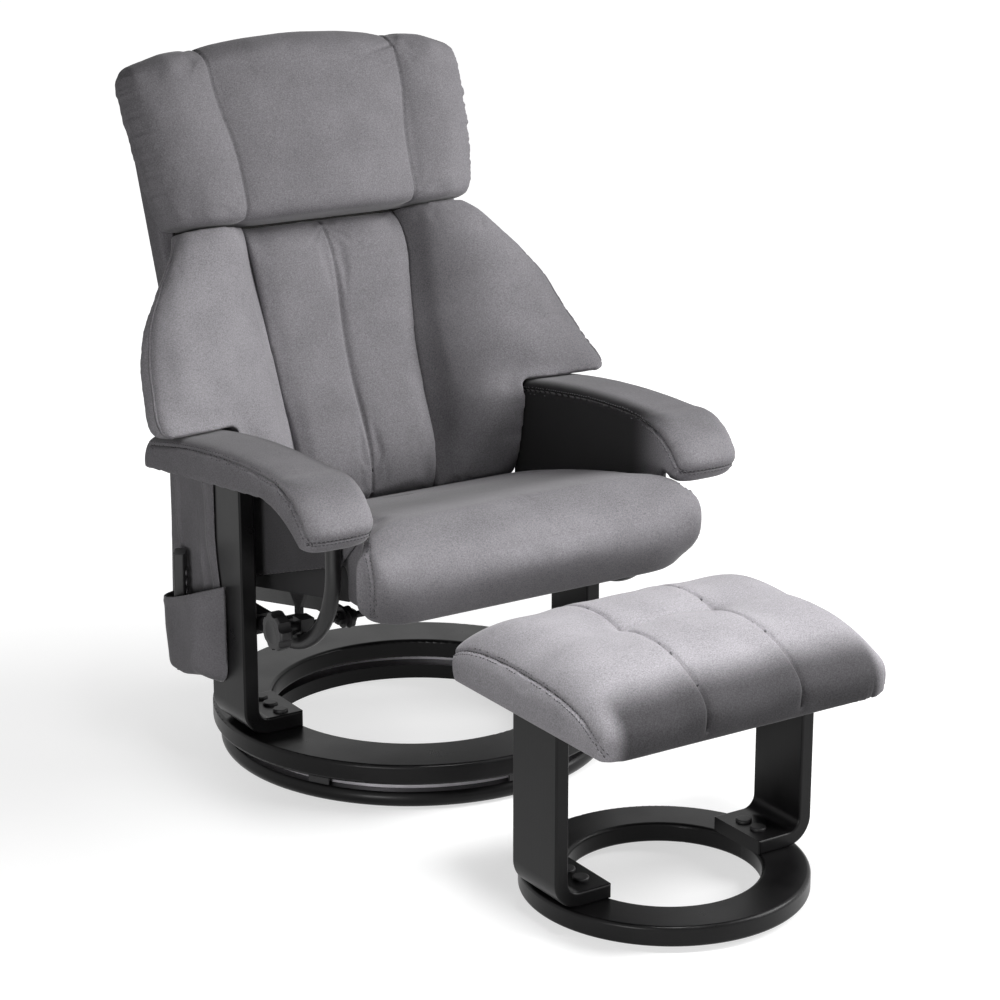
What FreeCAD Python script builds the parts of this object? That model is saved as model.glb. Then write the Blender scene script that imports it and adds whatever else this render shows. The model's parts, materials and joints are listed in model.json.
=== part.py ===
"""Swivel recliner with massage cushions and a matching footstool.

Millimetres, +Z up, the sitter faces -Y. The origin is on the floor, on the swivel axis.
Each piece is one node, written to parts/NODE.step.
"""
import FreeCAD
import Part
import math
import os

# Driving dimensions of the chair base
BEARING_RADIUS = 263.0
PAD_HEIGHT = 4.0
PAD_INSET = 17.0
PAD_WIDTH = 28.0
FLOOR_RING_OUT = 30.0
FLOOR_RING_IN = 37.0
FLOOR_RING_THICK = 22.0
BEARING_SPACE = 16.0
TURNTABLE_OUT = 41.0
TURNTABLE_IN = 47.5
TURNTABLE_THICK = 30.0
TURNTABLE_ROUND = 5.0
BALL_DIAMETER = 8.0
BALL_COUNT = 24
RACE_WIDTH = 20.0
RACE_SLIT = 4.0
BALL_CLEARANCE = 0.15
CAGE_THICK = 1.2
CAGE_WIDTH = 15.0
GLIDE_COUNT = 6
GLIDE_WIDTH = 33.0
GLIDE_DEPTH = 9.0
GLIDE_SET_IN = 1.0
GLIDE_FIRST_ANGLE = 30.0

# Driving dimensions of the bent plywood legs
LEG_THICK = 24.0
LEG_WIDTH = 100.0
LEG_CENTRE_Y = 8.0
LEG_OUT = 65.0
LEG_FOOT_LENGTH = 95.0
LEG_BEND = 40.0
LEG_ROUND = 3.0
CAP_DIAMETER = 22.0
CAP_HEIGHT = 4.0
CAP_SPACING = 31.0
LEG_CAP_COUNT = 3

# Driving dimensions of the arms, as Y and Z of the side outline
ARM_SEAT_GAP = 5.0
ARM_WIDTH = 105.0
ARM_UNDER_FRONT_Y = -185.0
ARM_UNDER_FRONT_Z = 477.0
ARM_UNDER_REAR_Y = 172.0
ARM_UNDER_REAR_Z = 434.0
ARM_TOP_REAR_Y = 155.0
ARM_TOP_REAR_Z = 486.0
ARM_TOP_SAG = 12.0
ARM_NOSE_TOP_Y = -238.0
ARM_NOSE_TOP_Z = 518.0
ARM_NOSE_TOP_SAG = 19.0
ARM_NOSE_Y = -335.0
ARM_NOSE_Z = 463.0
ARM_NOSE_SAG = 8.0
ARM_NOSE_BOTTOM_Y = -300.0
ARM_NOSE_BOTTOM_Z = 428.0
ARM_THROAT_SAG = 10.0
ARM_END_SAG = 5.0
ARM_FACE_DRAW = 9.0
ARM_FACE_SETBACK = 20.0
ARM_EDGE = 9.0
BOARD_MARGIN = 10.0
ARM_BOARD_THICK = 15.0
ARM_BOARD_FRONT = -250.0
ARM_BOARD_REAR = 140.0
LINING_THICK = 9.0
LINING_REAR_Y = 112.0
LINING_LAP = 5.0
LINING_FRONT_Y = -270.0
LINING_FRONT_Z = 416.0

# Driving dimensions of the side tubes and their fittings
TUBE_DIAMETER = 22.0
TUBE_WALL = 2.0
TUBE_LEG_GAP = 3.0
TUBE_LOW_Z = 238.0
TUBE_BEND = 140.0
TUBE_FRONT_Y = -240.0
SADDLE_WALL = 4.0
SADDLE_REAR_Y = 46.0
SADDLE_FRONT_Y = -30.0
POST_THICK = 6.0
POST_WIDTH = 16.0
POST_INSET = 9.0
POST_Y = -69.0
GUSSET_WIDTH = 44.0

# Driving dimensions of the seat
SEAT_HALF_WIDTH = 245.0
ROLL_OUT = 29.0
BASE_INSET = 5.0
BASE_REAR_Y = 140.0
BASE_KNEE_Y = 40.0
BASE_FRONT_Y = -225.0
BASE_BOTTOM_REAR_Z = 247.0
BASE_BOTTOM_FRONT_Z = 321.0
BASE_TOP_REAR_Z = 266.0
BASE_TOP_KNEE_Z = 284.0
BASE_TOP_FRONT_Z = 373.0
SEAT_REAR_Y = 122.0
SEAT_REAR_Z = 338.0
SEAT_TOP_FRONT_Y = -300.0
SEAT_TOP_FRONT_Z = 446.0
SEAT_CROWN = 10.0
SEAT_REAR_SAG = 7.0
SEAT_NOSE_SAG = 15.0
SEAT_FRONT_SAG = 9.0
SEAT_FRONT_Y = -362.0
SEAT_FRONT_Z = 392.0
SEAT_ROLL_BOTTOM_Y = -330.0
SEAT_ROLL_BOTTOM_Z = 310.0
SEAT_SIDE_DRAW = 12.0
SEAT_EDGE = 14.0
ROLL_REAR_Y = -318.0
ROLL_PROUD = 2.0
ROLL_SAG = 13.0

# Driving dimensions of the back, measured along it from its hinge
HINGE_Y = 170.0
HINGE_Z = 290.0
BACK_TILT = 20.0
BACK_FRONT = -82.0
BACK_SEAM = -71.0
BOARD_FRONT = -45.0
BACK_BOARD_THICK = 15.0
BACK_BOARD_INSET = 12.0
BACK_BOARD_LOW = 40.0
BACK_BOARD_HIGH = 680.0
SHELL_REAR = 8.0
SHELL_LOW = 30.0
SHELL_HIGH = 702.0
SHELL_INSET = 1.0
SHELL_FLARE = 14.0
SHELL_WIDENS = 300.0
SHELL_ROUND = 16.0
PAD_LOW = 30.0
PAD_HIGH = 464.0
PANEL_HALF_LOW = 112.0
PANEL_HALF_HIGH = 135.0
PANEL_SEAM_PROUD = 3.0
PANEL_END_DRAW = 2.0
WING_FULL = 20.0
WING_EDGE = 50.0
WING_SIDE_GAP = 4.0
WING_REAR_GAP = 2.0
WING_ARM_GAP = 1.5
ARM_TOP_STEPS = 6
HEAD_LOW = 466.0
HEAD_HIGH = 752.0
HEAD_HALF_LOW = 268.0
HEAD_HALF_HIGH = 298.0
HEAD_SEAM_LOW = 144.0
HEAD_SEAM_HIGH = 160.0
HEAD_FRONT = -138.0
HEAD_SEAM_FRONT = -122.0
HEAD_SIDE_FRONT = -128.0
HEAD_SHOULDER_FRONT = -108.0
HEAD_END_FRONT = -78.0
HEAD_SEAM_DROP = 12.0
HEAD_SIDE_DROP = 14.0
HEAD_SHOULDER_DROP = 26.0
HEAD_END_DROP = 46.0
HEAD_SHOULDER_IN = 12.0
HEAD_FOOT = 20.0
HEAD_FOOT_SAG = 5.0
HEAD_BELLY = 3.0
HEAD_LEAN = 12.0
HEAD_ROLL = 34.0
HEAD_ROLL_SAG = 11.0

# Driving dimensions of the recline hinge, strut and clamp
RECLINE_RANGE = 30.0
PLATE_THICK = 6.0
PLATE_INSET = 40.0
PLATE_GAP = 0.5
PLATE_WIDTH = 40.0
PLATE_HIGH = 190.0
PLATE_SHELL_MARGIN = 6.0
EYE_SHORT = 0.6
EYE_LONG = 0.8
HINGE_PIN = 12.0
CRANK_LENGTH = 80.0
CRANK_PIN = 10.0
PIN_CLEARANCE = 0.2
STRUT_WIDTH = 24.0
STRUT_CLEARANCE = 1.5
STRUT_BEND_Y = -57.0
SLOT_CLEARANCE = 1.8
KNOB_Y = -136.0
KNOB_Z = 265.0
KNOB_OUT = 4.0
KNOB_DIAMETER = 56.0
KNOB_THICK = 20.0
KNOB_LOBES = 7
KNOB_HUB_DIAMETER = 26.0
KNOB_HUB_LENGTH = 20.0
KNOB_HUB_WALL = 3.0
KNOB_DISH_SHARE = 0.62
ROD_DIAMETER = 10.0
ROD_END = 150.0
CLAMP_WIDTH = 24.0
CLAMP_OUT = 1.0
CLAMP_IN = 20.0
CLAMP_HEIGHT = 26.0
WASHER_DIAMETER = 30.0
WASHER_THICK = 3.0
NUT_WIDTH = 17.0
NUT_THICK = 8.0

# Driving dimensions of the massage parts
MOTOR_DIAMETER = 60.0
MOTOR_THICK = 18.0
BACK_MOTOR_X = 55.0
BACK_MOTOR_HEIGHTS = (150.0, 340.0)
SEAT_MOTOR_X = 95.0
SEAT_MOTOR_Y = -95.0
BOX_WIDTH = 130.0
BOX_DEPTH = 84.0
BOX_HEIGHT = 36.0
BOX_WALL = 3.0
BOX_Y = 20.0
INLET_DIAMETER = 12.0

# Driving dimensions of the side pocket and the handset
POCKET_DEPTH = 41.5
POCKET_WALL = 3.0
POCKET_LEG_GAP = 0.5
POCKET_FRONT_Y = 6.0
POCKET_FULL_FRONT_Y = 30.0
POCKET_FULL_REAR_Y = 122.0
POCKET_REAR_Y = 176.0
POCKET_LOW = 138.0
POCKET_FRONT_ROUND = 28.0
POCKET_REAR_ROUND = 46.0
MOUTH_FRONT_Z = 290.0
MOUTH_REAR_Z = 236.0
HANGER_FRONT_Y = 34.0
HANGER_REAR_Y = 170.0
HANDSET_WIDTH = 32.0
HANDSET_THICK = 17.0
HANDSET_LENGTH = 178.0
HANDSET_Y = 108.0
HANDSET_TURN = 57.0
HANDSET_WALL = 2.0
BUTTON_DIAMETER = 9.0
BUTTON_PITCH = 15.0
BUTTON_ROWS = 3
BUTTON_TRAVEL = 1.2
BUTTON_PROUD = 1.6
BUTTON_GAP = 0.2
BUTTON_FLANGE = 1.2
BUTTON_TOP_MARGIN = 30.0

# Driving dimensions of the footstool
STOOL_X = -9.0
STOOL_Y = -647.0
STOOL_GLIDE_HEIGHT = 8.0
STOOL_GLIDE_DIAMETER = 26.0
STOOL_GLIDE_COUNT = 4
STOOL_RING_OUTER = 193.0
STOOL_RING_INNER = 128.7
STOOL_RING_THICK = 28.0
STOOL_LEG_THICK = 20.0
STOOL_LEG_WIDTH = 100.0
STOOL_LEG_OUTER = 207.0
STOOL_FOOT_END = 120.0
STOOL_LEG_BEND = 38.0
STOOL_CAP_COUNT = 2
STOOL_SEAT_LOW = 285.0
STOOL_WIDTH = 446.0
STOOL_DEPTH = 370.0
STOOL_EDGE_HEIGHT = 48.0
STOOL_CROWN = 100.0
STOOL_TUFT_DROP = 15.0
STOOL_END_DROP = 34.0
STOOL_TUFT_X = 74.0
STOOL_BULGE = 5.0
STOOL_END_DRAW = 14.0
STOOL_EDGE_DRAW = 5.0
STOOL_SIDE_DROP = 4.0
STOOL_BOARD_THICK = 15.0
STOOL_BOARD_MARGIN = 40.0

# Clearances shared by many pieces
SOFT_GAP = 0.3
RUN_GAP = 0.5
FAR = 2000.0
NEAR = 1.0
TOUCH = 1e-6

V = FreeCAD.Vector
X_AXIS = V(1, 0, 0)
Y_AXIS = V(0, 1, 0)
Z_AXIS = V(0, 0, 1)
SIDES = {"left": 1, "right": -1}

# Levels and offsets that follow from the sizes above
pad_inner = BEARING_RADIUS - PAD_INSET
floor_ring_outer = BEARING_RADIUS + FLOOR_RING_OUT
floor_ring_inner = BEARING_RADIUS - FLOOR_RING_IN
turntable_outer = BEARING_RADIUS + TURNTABLE_OUT
turntable_inner = BEARING_RADIUS - TURNTABLE_IN
floor_ring_top = PAD_HEIGHT + FLOOR_RING_THICK
turntable_low = floor_ring_top + BEARING_SPACE
turntable_top = turntable_low + TURNTABLE_THICK
stool_ring_top = STOOL_GLIDE_HEIGHT + STOOL_RING_THICK
tube_radius = TUBE_DIAMETER / 2
rod_radius = ROD_DIAMETER / 2
leg_outer = SEAT_HALF_WIDTH + LEG_OUT
leg_foot_end = leg_outer - LEG_FOOT_LENGTH
arm_inner = SEAT_HALF_WIDTH + ARM_SEAT_GAP
arm_outer = arm_inner + ARM_WIDTH
tube_offset = leg_outer - LEG_THICK - TUBE_LEG_GAP - tube_radius
post_offset = SEAT_HALF_WIDTH - POST_INSET
base_half = SEAT_HALF_WIDTH - BASE_INSET
roll_half = SEAT_HALF_WIDTH + ROLL_OUT
plate_offset = base_half - PLATE_INSET
shell_half_low = SEAT_HALF_WIDTH - SHELL_INSET
shell_half_high = shell_half_low + SHELL_FLARE
back_board_half = shell_half_low - BACK_BOARD_INSET
knob_offset = leg_outer + KNOB_OUT
pocket_inner = leg_outer + POCKET_LEG_GAP
pocket_outer = pocket_inner + POCKET_DEPTH


def box(x_range, y_range, z_range):
    """A block between two corners."""
    low = V(min(x_range), min(y_range), min(z_range))
    high = V(max(x_range), max(y_range), max(z_range))
    size = high - low
    return Part.makeBox(size.x, size.y, size.z, low)


def ring(inner, outer, low, high, centre=V(0, 0, 0)):
    """A flat ring about a vertical axis."""
    at = centre + V(0, 0, low)
    return Part.makeCylinder(outer, high - low, at).cut(Part.makeCylinder(inner, high - low, at))


def rod_x(x_from, x_to, y, z, radius):
    """A round bar along X."""
    return Part.makeCylinder(radius, abs(x_to - x_from), V(min(x_from, x_to), y, z), X_AXIS)


def trace(start, *steps):
    """A closed outline: a step of one point is a line, a step of two an arc through the first."""
    edges = []
    at = start
    for step in steps:
        if isinstance(step, tuple):
            edges.append(Part.Arc(at, step[0], step[1]).toShape())
            at = step[1]
        else:
            edges.append(Part.makeLine(at, step))
            at = step
    if at.distanceToPoint(start) > TOUCH:
        edges.append(Part.makeLine(at, start))
    return Part.Wire(edges)


def bow(start, end, sag, axis):
    """Middle point of an arc between two points that bulges by the sag, across the axis given."""
    across = (end - start).cross(axis)
    across.normalize()
    return (start + end) / 2 + across * sag


def bowed(points, sags, axis=X_AXIS):
    """A closed outline through points: each side is straight, or an arc that bulges by its sag."""
    steps = []
    for start, end, sag in zip(points, points[1:] + points[:1], sags):
        steps.append((bow(start, end, sag, axis), end) if sag else end)
    return trace(points[0], *steps)


def plate_x(outline, x_from, x_to):
    """A plate whose outline, a list of Y and Z pairs, is pushed along X."""
    points = [V(min(x_from, x_to), y, z) for y, z in outline]
    wire = Part.makePolygon(points + points[:1])
    return Part.Face(wire).extrude(V(abs(x_to - x_from), 0, 0))


def mirrored(shape):
    """The same piece on the other side of the chair."""
    return shape.mirror(V(0, 0, 0), X_AXIS)


def on_side(shape, side):
    """A piece modelled on the left, put on the side asked for."""
    return shape if side == "left" else mirrored(shape)


def soft_loft(wires):
    """A padded form drawn smoothly through its cross-sections."""
    return Part.makeLoft(wires, True, False)


def lean(shape):
    """Turns a piece of the upright back about the hinge to its resting tilt."""
    turned = shape.copy()
    turned.translate(V(0, HINGE_Y, HINGE_Z))
    turned.rotate(V(0, HINGE_Y, HINGE_Z), X_AXIS, -BACK_TILT)
    return turned


def lerp(low, high, share):
    """A value part of the way from one to another."""
    return low + (high - low) * share


def arm_under(y):
    """Height of the straight underside of the arm."""
    share = (y - ARM_UNDER_FRONT_Y) / (ARM_UNDER_REAR_Y - ARM_UNDER_FRONT_Y)
    return lerp(ARM_UNDER_FRONT_Z, ARM_UNDER_REAR_Z, share)


def above_arm_line():
    """Everything over the line of the arms' underside."""
    front = -FAR / 2
    rear = FAR / 2
    outline = [(front, arm_under(front)), (rear, arm_under(rear)), (rear, FAR), (front, FAR)]
    return plate_x(outline, -FAR / 2, FAR / 2)


# Chair base
def floor_pad():
    return ring(pad_inner, pad_inner + PAD_WIDTH, 0, PAD_HEIGHT)


def floor_ring():
    """A thin board ring with a rounded bead for an edge."""
    low = PAD_HEIGHT
    high = floor_ring_top
    bead = FLOOR_RING_THICK / 2
    flat = floor_ring_outer - bead / 2
    outline = trace(
        V(floor_ring_inner, 0, low),
        V(flat, 0, low),
        (V(floor_ring_outer, 0, low + bead), V(flat, 0, high)),
        V(floor_ring_inner, 0, high),
    )
    return Part.Face(outline).revolve(V(0, 0, 0), Z_AXIS, 360)


def turntable_ring():
    disc = ring(turntable_inner, turntable_outer, turntable_low, turntable_top)
    return disc.makeFillet(TURNTABLE_ROUND, disc.Edges)


def bearing_race(plain, grooved):
    """A flat steel ring with a round groove for the balls in its grooved face."""
    half = RACE_WIDTH / 2
    middle = floor_ring_top + BEARING_SPACE / 2
    radius = BALL_DIAMETER / 2 + BALL_CLEARANCE
    mouth = math.sqrt(radius ** 2 - (grooved - middle) ** 2)
    deepest = middle + math.copysign(radius, grooved - middle)
    outline = trace(
        V(BEARING_RADIUS - half, 0, plain),
        V(BEARING_RADIUS + half, 0, plain),
        V(BEARING_RADIUS + half, 0, grooved),
        V(BEARING_RADIUS + mouth, 0, grooved),
        (V(BEARING_RADIUS, 0, deepest), V(BEARING_RADIUS - mouth, 0, grooved)),
        V(BEARING_RADIUS - half, 0, grooved),
    )
    return Part.Face(outline).revolve(V(0, 0, 0), Z_AXIS, 360)


def ball_places():
    middle = floor_ring_top + BEARING_SPACE / 2
    step = 2 * math.pi / BALL_COUNT
    angles = [step * number for number in range(BALL_COUNT)]
    return [V(BEARING_RADIUS * math.cos(a), BEARING_RADIUS * math.sin(a), middle) for a in angles]


def bearing_balls():
    return Part.makeCompound([Part.makeSphere(BALL_DIAMETER / 2, at) for at in ball_places()])


def ball_cage():
    middle = floor_ring_top + BEARING_SPACE / 2
    low = middle - CAGE_THICK / 2
    half = CAGE_WIDTH / 2
    cage = ring(BEARING_RADIUS - half, BEARING_RADIUS + half, low, low + CAGE_THICK)
    hole = BALL_DIAMETER / 2 + BALL_CLEARANCE
    holes = [Part.makeCylinder(hole, CAGE_THICK, V(at.x, at.y, low)) for at in ball_places()]
    return cage.cut(Part.makeCompound(holes))


def glide_blocks():
    """Blocks on the floor ring that the turntable's rim runs over."""
    blocks = []
    outer = floor_ring_outer - GLIDE_SET_IN
    for number in range(GLIDE_COUNT):
        block = box(
            (outer - GLIDE_DEPTH, outer - FLOOR_RING_THICK / 4),
            (-GLIDE_WIDTH / 2, GLIDE_WIDTH / 2),
            (floor_ring_top, turntable_low - RUN_GAP),
        )
        block.rotate(V(0, 0, 0), Z_AXIS, GLIDE_FIRST_ANGLE + number * 360 / GLIDE_COUNT)
        blocks.append(block)
    return Part.makeCompound(blocks)


# Bent board legs, shared by the chair and the footstool
def bent_leg(foot_end, outer, thick, bend, floor, top, y_centre, width):
    """A board bent from a flat foot to an upright, seen along Y."""
    y = y_centre - width / 2
    inner = outer - thick
    inside = bend - thick
    centre_x = outer - bend
    centre_z = floor + bend
    reach = math.sqrt(0.5)
    outline = trace(
        V(foot_end, y, floor),
        V(centre_x, y, floor),
        (V(centre_x + bend * reach, y, centre_z - bend * reach), V(outer, y, centre_z)),
        V(outer, y, top),
        V(inner, y, top),
        V(inner, y, centre_z),
        (V(centre_x + inside * reach, y, centre_z - inside * reach), V(centre_x, y, floor + thick)),
        V(foot_end, y, floor + thick),
    )
    leg = Part.Face(outline).extrude(V(0, width, 0))
    long_edges = [e for e in leg.Edges if abs(e.BoundBox.YLength) < TOUCH and e.BoundBox.ZMax < top - NEAR]
    return leg.makeFillet(LEG_ROUND, long_edges)


def leg(side):
    blank = bent_leg(
        leg_foot_end, leg_outer, LEG_THICK, LEG_BEND,
        turntable_top, ARM_UNDER_FRONT_Z, LEG_CENTRE_Y, LEG_WIDTH,
    )
    return on_side(blank.cut(above_arm_line()), side)


def cap_row(x, y_centre, z, count):
    """Domed screw covers in a row along a foot."""
    caps = []
    for number in range(count):
        y = y_centre + (number - (count - 1) / 2) * CAP_SPACING
        cap = Part.makeCylinder(CAP_DIAMETER / 2, CAP_HEIGHT, V(x, y, z))
        rim = [e for e in cap.Edges if abs(e.BoundBox.ZMin - z - CAP_HEIGHT) < TOUCH]
        caps.append(cap.makeFillet(CAP_HEIGHT / 2, rim))
    return caps


def leg_bolt_caps():
    x = (leg_foot_end + leg_outer - LEG_BEND) / 2
    caps = []
    for sign in SIDES.values():
        caps += cap_row(sign * x, LEG_CENTRE_Y, turntable_top + LEG_THICK, LEG_CAP_COUNT)
    return Part.makeCompound(caps)


# Arms
def arm_outline(x, draw, setback):
    """Side outline of the arm at one X, drawn in by some millimetres and set back at the nose."""
    points = [
        V(x, ARM_TOP_REAR_Y, ARM_TOP_REAR_Z - draw),
        V(x, ARM_NOSE_TOP_Y + setback, ARM_NOSE_TOP_Z - draw),
        V(x, ARM_NOSE_Y + setback, ARM_NOSE_Z),
        V(x, ARM_NOSE_BOTTOM_Y + setback / 2, ARM_NOSE_BOTTOM_Z + draw),
        V(x, ARM_UNDER_FRONT_Y, ARM_UNDER_FRONT_Z),
        V(x, ARM_UNDER_REAR_Y, ARM_UNDER_REAR_Z),
    ]
    return bowed(points, [ARM_TOP_SAG, ARM_NOSE_TOP_SAG, ARM_NOSE_SAG, -ARM_THROAT_SAG, 0, ARM_END_SAG])


def arm_board_blank(gap):
    """The board inside the arm, or its recess when a gap is given."""
    outline = [
        (ARM_BOARD_FRONT - gap, arm_under(ARM_BOARD_FRONT - gap)),
        (ARM_BOARD_REAR + gap, arm_under(ARM_BOARD_REAR + gap)),
        (ARM_BOARD_REAR + gap, arm_under(ARM_BOARD_REAR + gap) + ARM_BOARD_THICK + gap),
        (ARM_BOARD_FRONT - gap, arm_under(ARM_BOARD_FRONT - gap) + ARM_BOARD_THICK + gap),
    ]
    inner = arm_inner + BOARD_MARGIN - gap
    outer = arm_outer - BOARD_MARGIN + gap
    return plate_x(outline, inner, outer)


def arm_board(side):
    return on_side(arm_board_blank(0), side)


def arm_blank():
    stations = [
        (arm_inner, ARM_FACE_DRAW, ARM_FACE_SETBACK),
        (arm_inner + ARM_EDGE, ARM_FACE_DRAW / 3, ARM_FACE_SETBACK / 2),
        (arm_inner + ARM_WIDTH / 2, 0, 0),
        (arm_outer - ARM_EDGE, ARM_FACE_DRAW / 3, ARM_FACE_SETBACK / 2),
        (arm_outer, ARM_FACE_DRAW, ARM_FACE_SETBACK),
    ]
    return soft_loft([arm_outline(x, draw, back) for x, draw, back in stations])


def arm_lining():
    """The padded lining that hangs from the arm's inner face to the top of the seat base."""
    low = SOFT_GAP
    lap = LINING_LAP
    rear_z = base_top(LINING_REAR_Y) + low
    outline = [
        (LINING_REAR_Y, arm_under(LINING_REAR_Y) + lap),
        (LINING_REAR_Y, rear_z),
        (BASE_KNEE_Y, BASE_TOP_KNEE_Z + low),
        (BASE_FRONT_Y, BASE_TOP_FRONT_Z + low),
        (LINING_FRONT_Y, LINING_FRONT_Z),
        (ARM_NOSE_BOTTOM_Y + ARM_FACE_SETBACK, ARM_NOSE_BOTTOM_Z + 2 * ARM_FACE_DRAW),
        (ARM_BOARD_FRONT, ARM_UNDER_FRONT_Z + lap),
        (ARM_UNDER_FRONT_Y, ARM_UNDER_FRONT_Z + lap),
    ]
    return plate_x(outline, arm_inner, arm_inner + LINING_THICK)


def arm_pad(side):
    low = ARM_NOSE_BOTTOM_Z - ARM_BOARD_THICK
    high = arm_under(TUBE_FRONT_Y - tube_radius) + ARM_BOARD_THICK / 2
    hole = Part.makeCylinder(tube_radius + SOFT_GAP, high - low, V(tube_offset, TUBE_FRONT_Y, low))
    pad = arm_blank().fuse(arm_lining()).removeSplitter()
    return on_side(pad.cut(arm_board_blank(SOFT_GAP)).cut(hole), side)


# Side tubes and what they carry
def tube_path():
    x = tube_offset
    centre_y = TUBE_FRONT_Y + TUBE_BEND
    centre_z = TUBE_LOW_Z + TUBE_BEND
    reach = TUBE_BEND * math.sqrt(0.5)
    start = V(x, SADDLE_REAR_Y - SADDLE_WALL, TUBE_LOW_Z)
    low = V(x, centre_y, TUBE_LOW_Z)
    middle = V(x, centre_y - reach, centre_z - reach)
    up = V(x, TUBE_FRONT_Y, centre_z)
    end = V(x, TUBE_FRONT_Y, ARM_UNDER_FRONT_Z + ARM_BOARD_THICK)
    return Part.Wire([
        Part.makeLine(start, low),
        Part.Arc(low, middle, up).toShape(),
        Part.makeLine(up, end),
    ]), start


def tube_solid(radius):
    path, start = tube_path()
    profile = Part.Wire([Part.makeCircle(radius, start, Y_AXIS)])
    return path.makePipeShell([profile], True, False)


def side_tube(side):
    tube = tube_solid(tube_radius).cut(tube_solid(tube_radius - TUBE_WALL))
    return on_side(tube.cut(above_arm_line()), side)


def tube_saddle(side):
    """A block on the leg's inner face that grips the tube's end."""
    half = tube_radius + SADDLE_WALL
    block = box(
        (tube_offset - half, leg_outer - LEG_THICK),
        (SADDLE_FRONT_Y, SADDLE_REAR_Y),
        (TUBE_LOW_Z - half, TUBE_LOW_Z + half),
    )
    bore = Part.makeCylinder(
        tube_radius, SADDLE_REAR_Y - SADDLE_WALL - SADDLE_FRONT_Y,
        V(tube_offset, SADDLE_FRONT_Y, TUBE_LOW_Z), Y_AXIS,
    )
    return on_side(block.cut(bore), side)


def base_bottom(y):
    """Height of the seat base's underside."""
    share = (y - BASE_REAR_Y) / (BASE_FRONT_Y - BASE_REAR_Y)
    return lerp(BASE_BOTTOM_REAR_Z, BASE_BOTTOM_FRONT_Z, share)


def seat_post(side):
    """An angle from the side tube up to a gusset under the seat base."""
    front = POST_Y - POST_WIDTH / 2
    rear = POST_Y + POST_WIDTH / 2
    foot_low = TUBE_LOW_Z + tube_radius
    inner = post_offset - POST_THICK
    foot = box((inner, tube_offset), (front, rear), (foot_low, foot_low + POST_THICK))
    wide_front = POST_Y - GUSSET_WIDTH / 2
    wide_rear = POST_Y + GUSSET_WIDTH / 2
    neck = (foot_low + base_bottom(POST_Y)) / 2
    outline = [
        (rear, foot_low), (rear, neck), (wide_rear, base_bottom(wide_rear)),
        (wide_front, base_bottom(wide_front)), (front, neck), (front, foot_low),
    ]
    post = plate_x(outline, inner, post_offset).fuse(foot)
    return on_side(post.removeSplitter(), side)


# Seat
def base_top_line():
    return [
        (BASE_REAR_Y, BASE_TOP_REAR_Z), (BASE_KNEE_Y, BASE_TOP_KNEE_Z), (BASE_FRONT_Y, BASE_TOP_FRONT_Z),
    ]


def base_top(y):
    """Height of the seat base's top behind its knee."""
    share = (y - BASE_REAR_Y) / (BASE_KNEE_Y - BASE_REAR_Y)
    return lerp(BASE_TOP_REAR_Z, BASE_TOP_KNEE_Z, share)


def seat_hinge_plate_blank():
    """An upright plate let into the seat base, with an eye for the hinge pin."""
    inner = plate_offset + PLATE_THICK + PLATE_GAP
    eye = PLATE_WIDTH / 2
    outline = [
        (BASE_KNEE_Y, base_bottom(BASE_KNEE_Y)),
        (BASE_REAR_Y, base_bottom(BASE_REAR_Y)),
        (HINGE_Y + eye * EYE_SHORT, HINGE_Z - eye * EYE_LONG),
        (HINGE_Y - eye * EYE_LONG, HINGE_Z + eye * EYE_SHORT),
        (BASE_REAR_Y, BASE_TOP_REAR_Z),
        (BASE_KNEE_Y, BASE_TOP_KNEE_Z - PLATE_THICK),
    ]
    plate = plate_x(outline, inner, inner + PLATE_THICK)
    return plate.fuse(rod_x(inner, inner + PLATE_THICK, HINGE_Y, HINGE_Z, eye)).removeSplitter()


def seat_hinge_plate(side):
    bore = rod_x(0, FAR / 2, HINGE_Y, HINGE_Z, HINGE_PIN / 2)
    return on_side(seat_hinge_plate_blank().cut(bore), side)


def seat_base():
    """A wedge-shaped board tray under the seat cushion."""
    outline = [(BASE_FRONT_Y, base_bottom(BASE_FRONT_Y)), (BASE_REAR_Y, base_bottom(BASE_REAR_Y))]
    tray = plate_x(outline + base_top_line(), -base_half, base_half)
    blank = seat_hinge_plate_blank()
    return tray.cut(blank).cut(mirrored(blank))


def seat_outline(x, draw):
    """Side outline of the seat cushion at one X."""
    front_face = BASE_FRONT_Y - SOFT_GAP
    points = [
        V(x, BASE_REAR_Y, BASE_TOP_REAR_Z + SOFT_GAP),
        V(x, SEAT_REAR_Y, SEAT_REAR_Z - draw / 2),
        V(x, SEAT_TOP_FRONT_Y, SEAT_TOP_FRONT_Z - draw),
        V(x, SEAT_FRONT_Y + draw, SEAT_FRONT_Z),
        V(x, SEAT_ROLL_BOTTOM_Y + draw, SEAT_ROLL_BOTTOM_Z + draw),
        V(x, front_face, base_bottom(BASE_FRONT_Y)),
        V(x, front_face, BASE_TOP_FRONT_Z + SOFT_GAP),
        V(x, BASE_KNEE_Y, BASE_TOP_KNEE_Z + SOFT_GAP),
    ]
    return bowed(points, [SEAT_REAR_SAG, SEAT_CROWN, SEAT_NOSE_SAG, SEAT_FRONT_SAG, 0, 0, 0, 0])


def roll_outline(x, draw):
    """Outline of the front roll's ends, which pass in front of the arms."""
    points = [
        V(x, ROLL_REAR_Y, SEAT_TOP_FRONT_Z - SEAT_EDGE - draw),
        V(x, SEAT_FRONT_Y + draw, SEAT_FRONT_Z),
        V(x, ROLL_REAR_Y, SEAT_ROLL_BOTTOM_Z + SEAT_EDGE + draw),
    ]
    return bowed(points, [ROLL_SAG, ROLL_SAG, 0])


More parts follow.
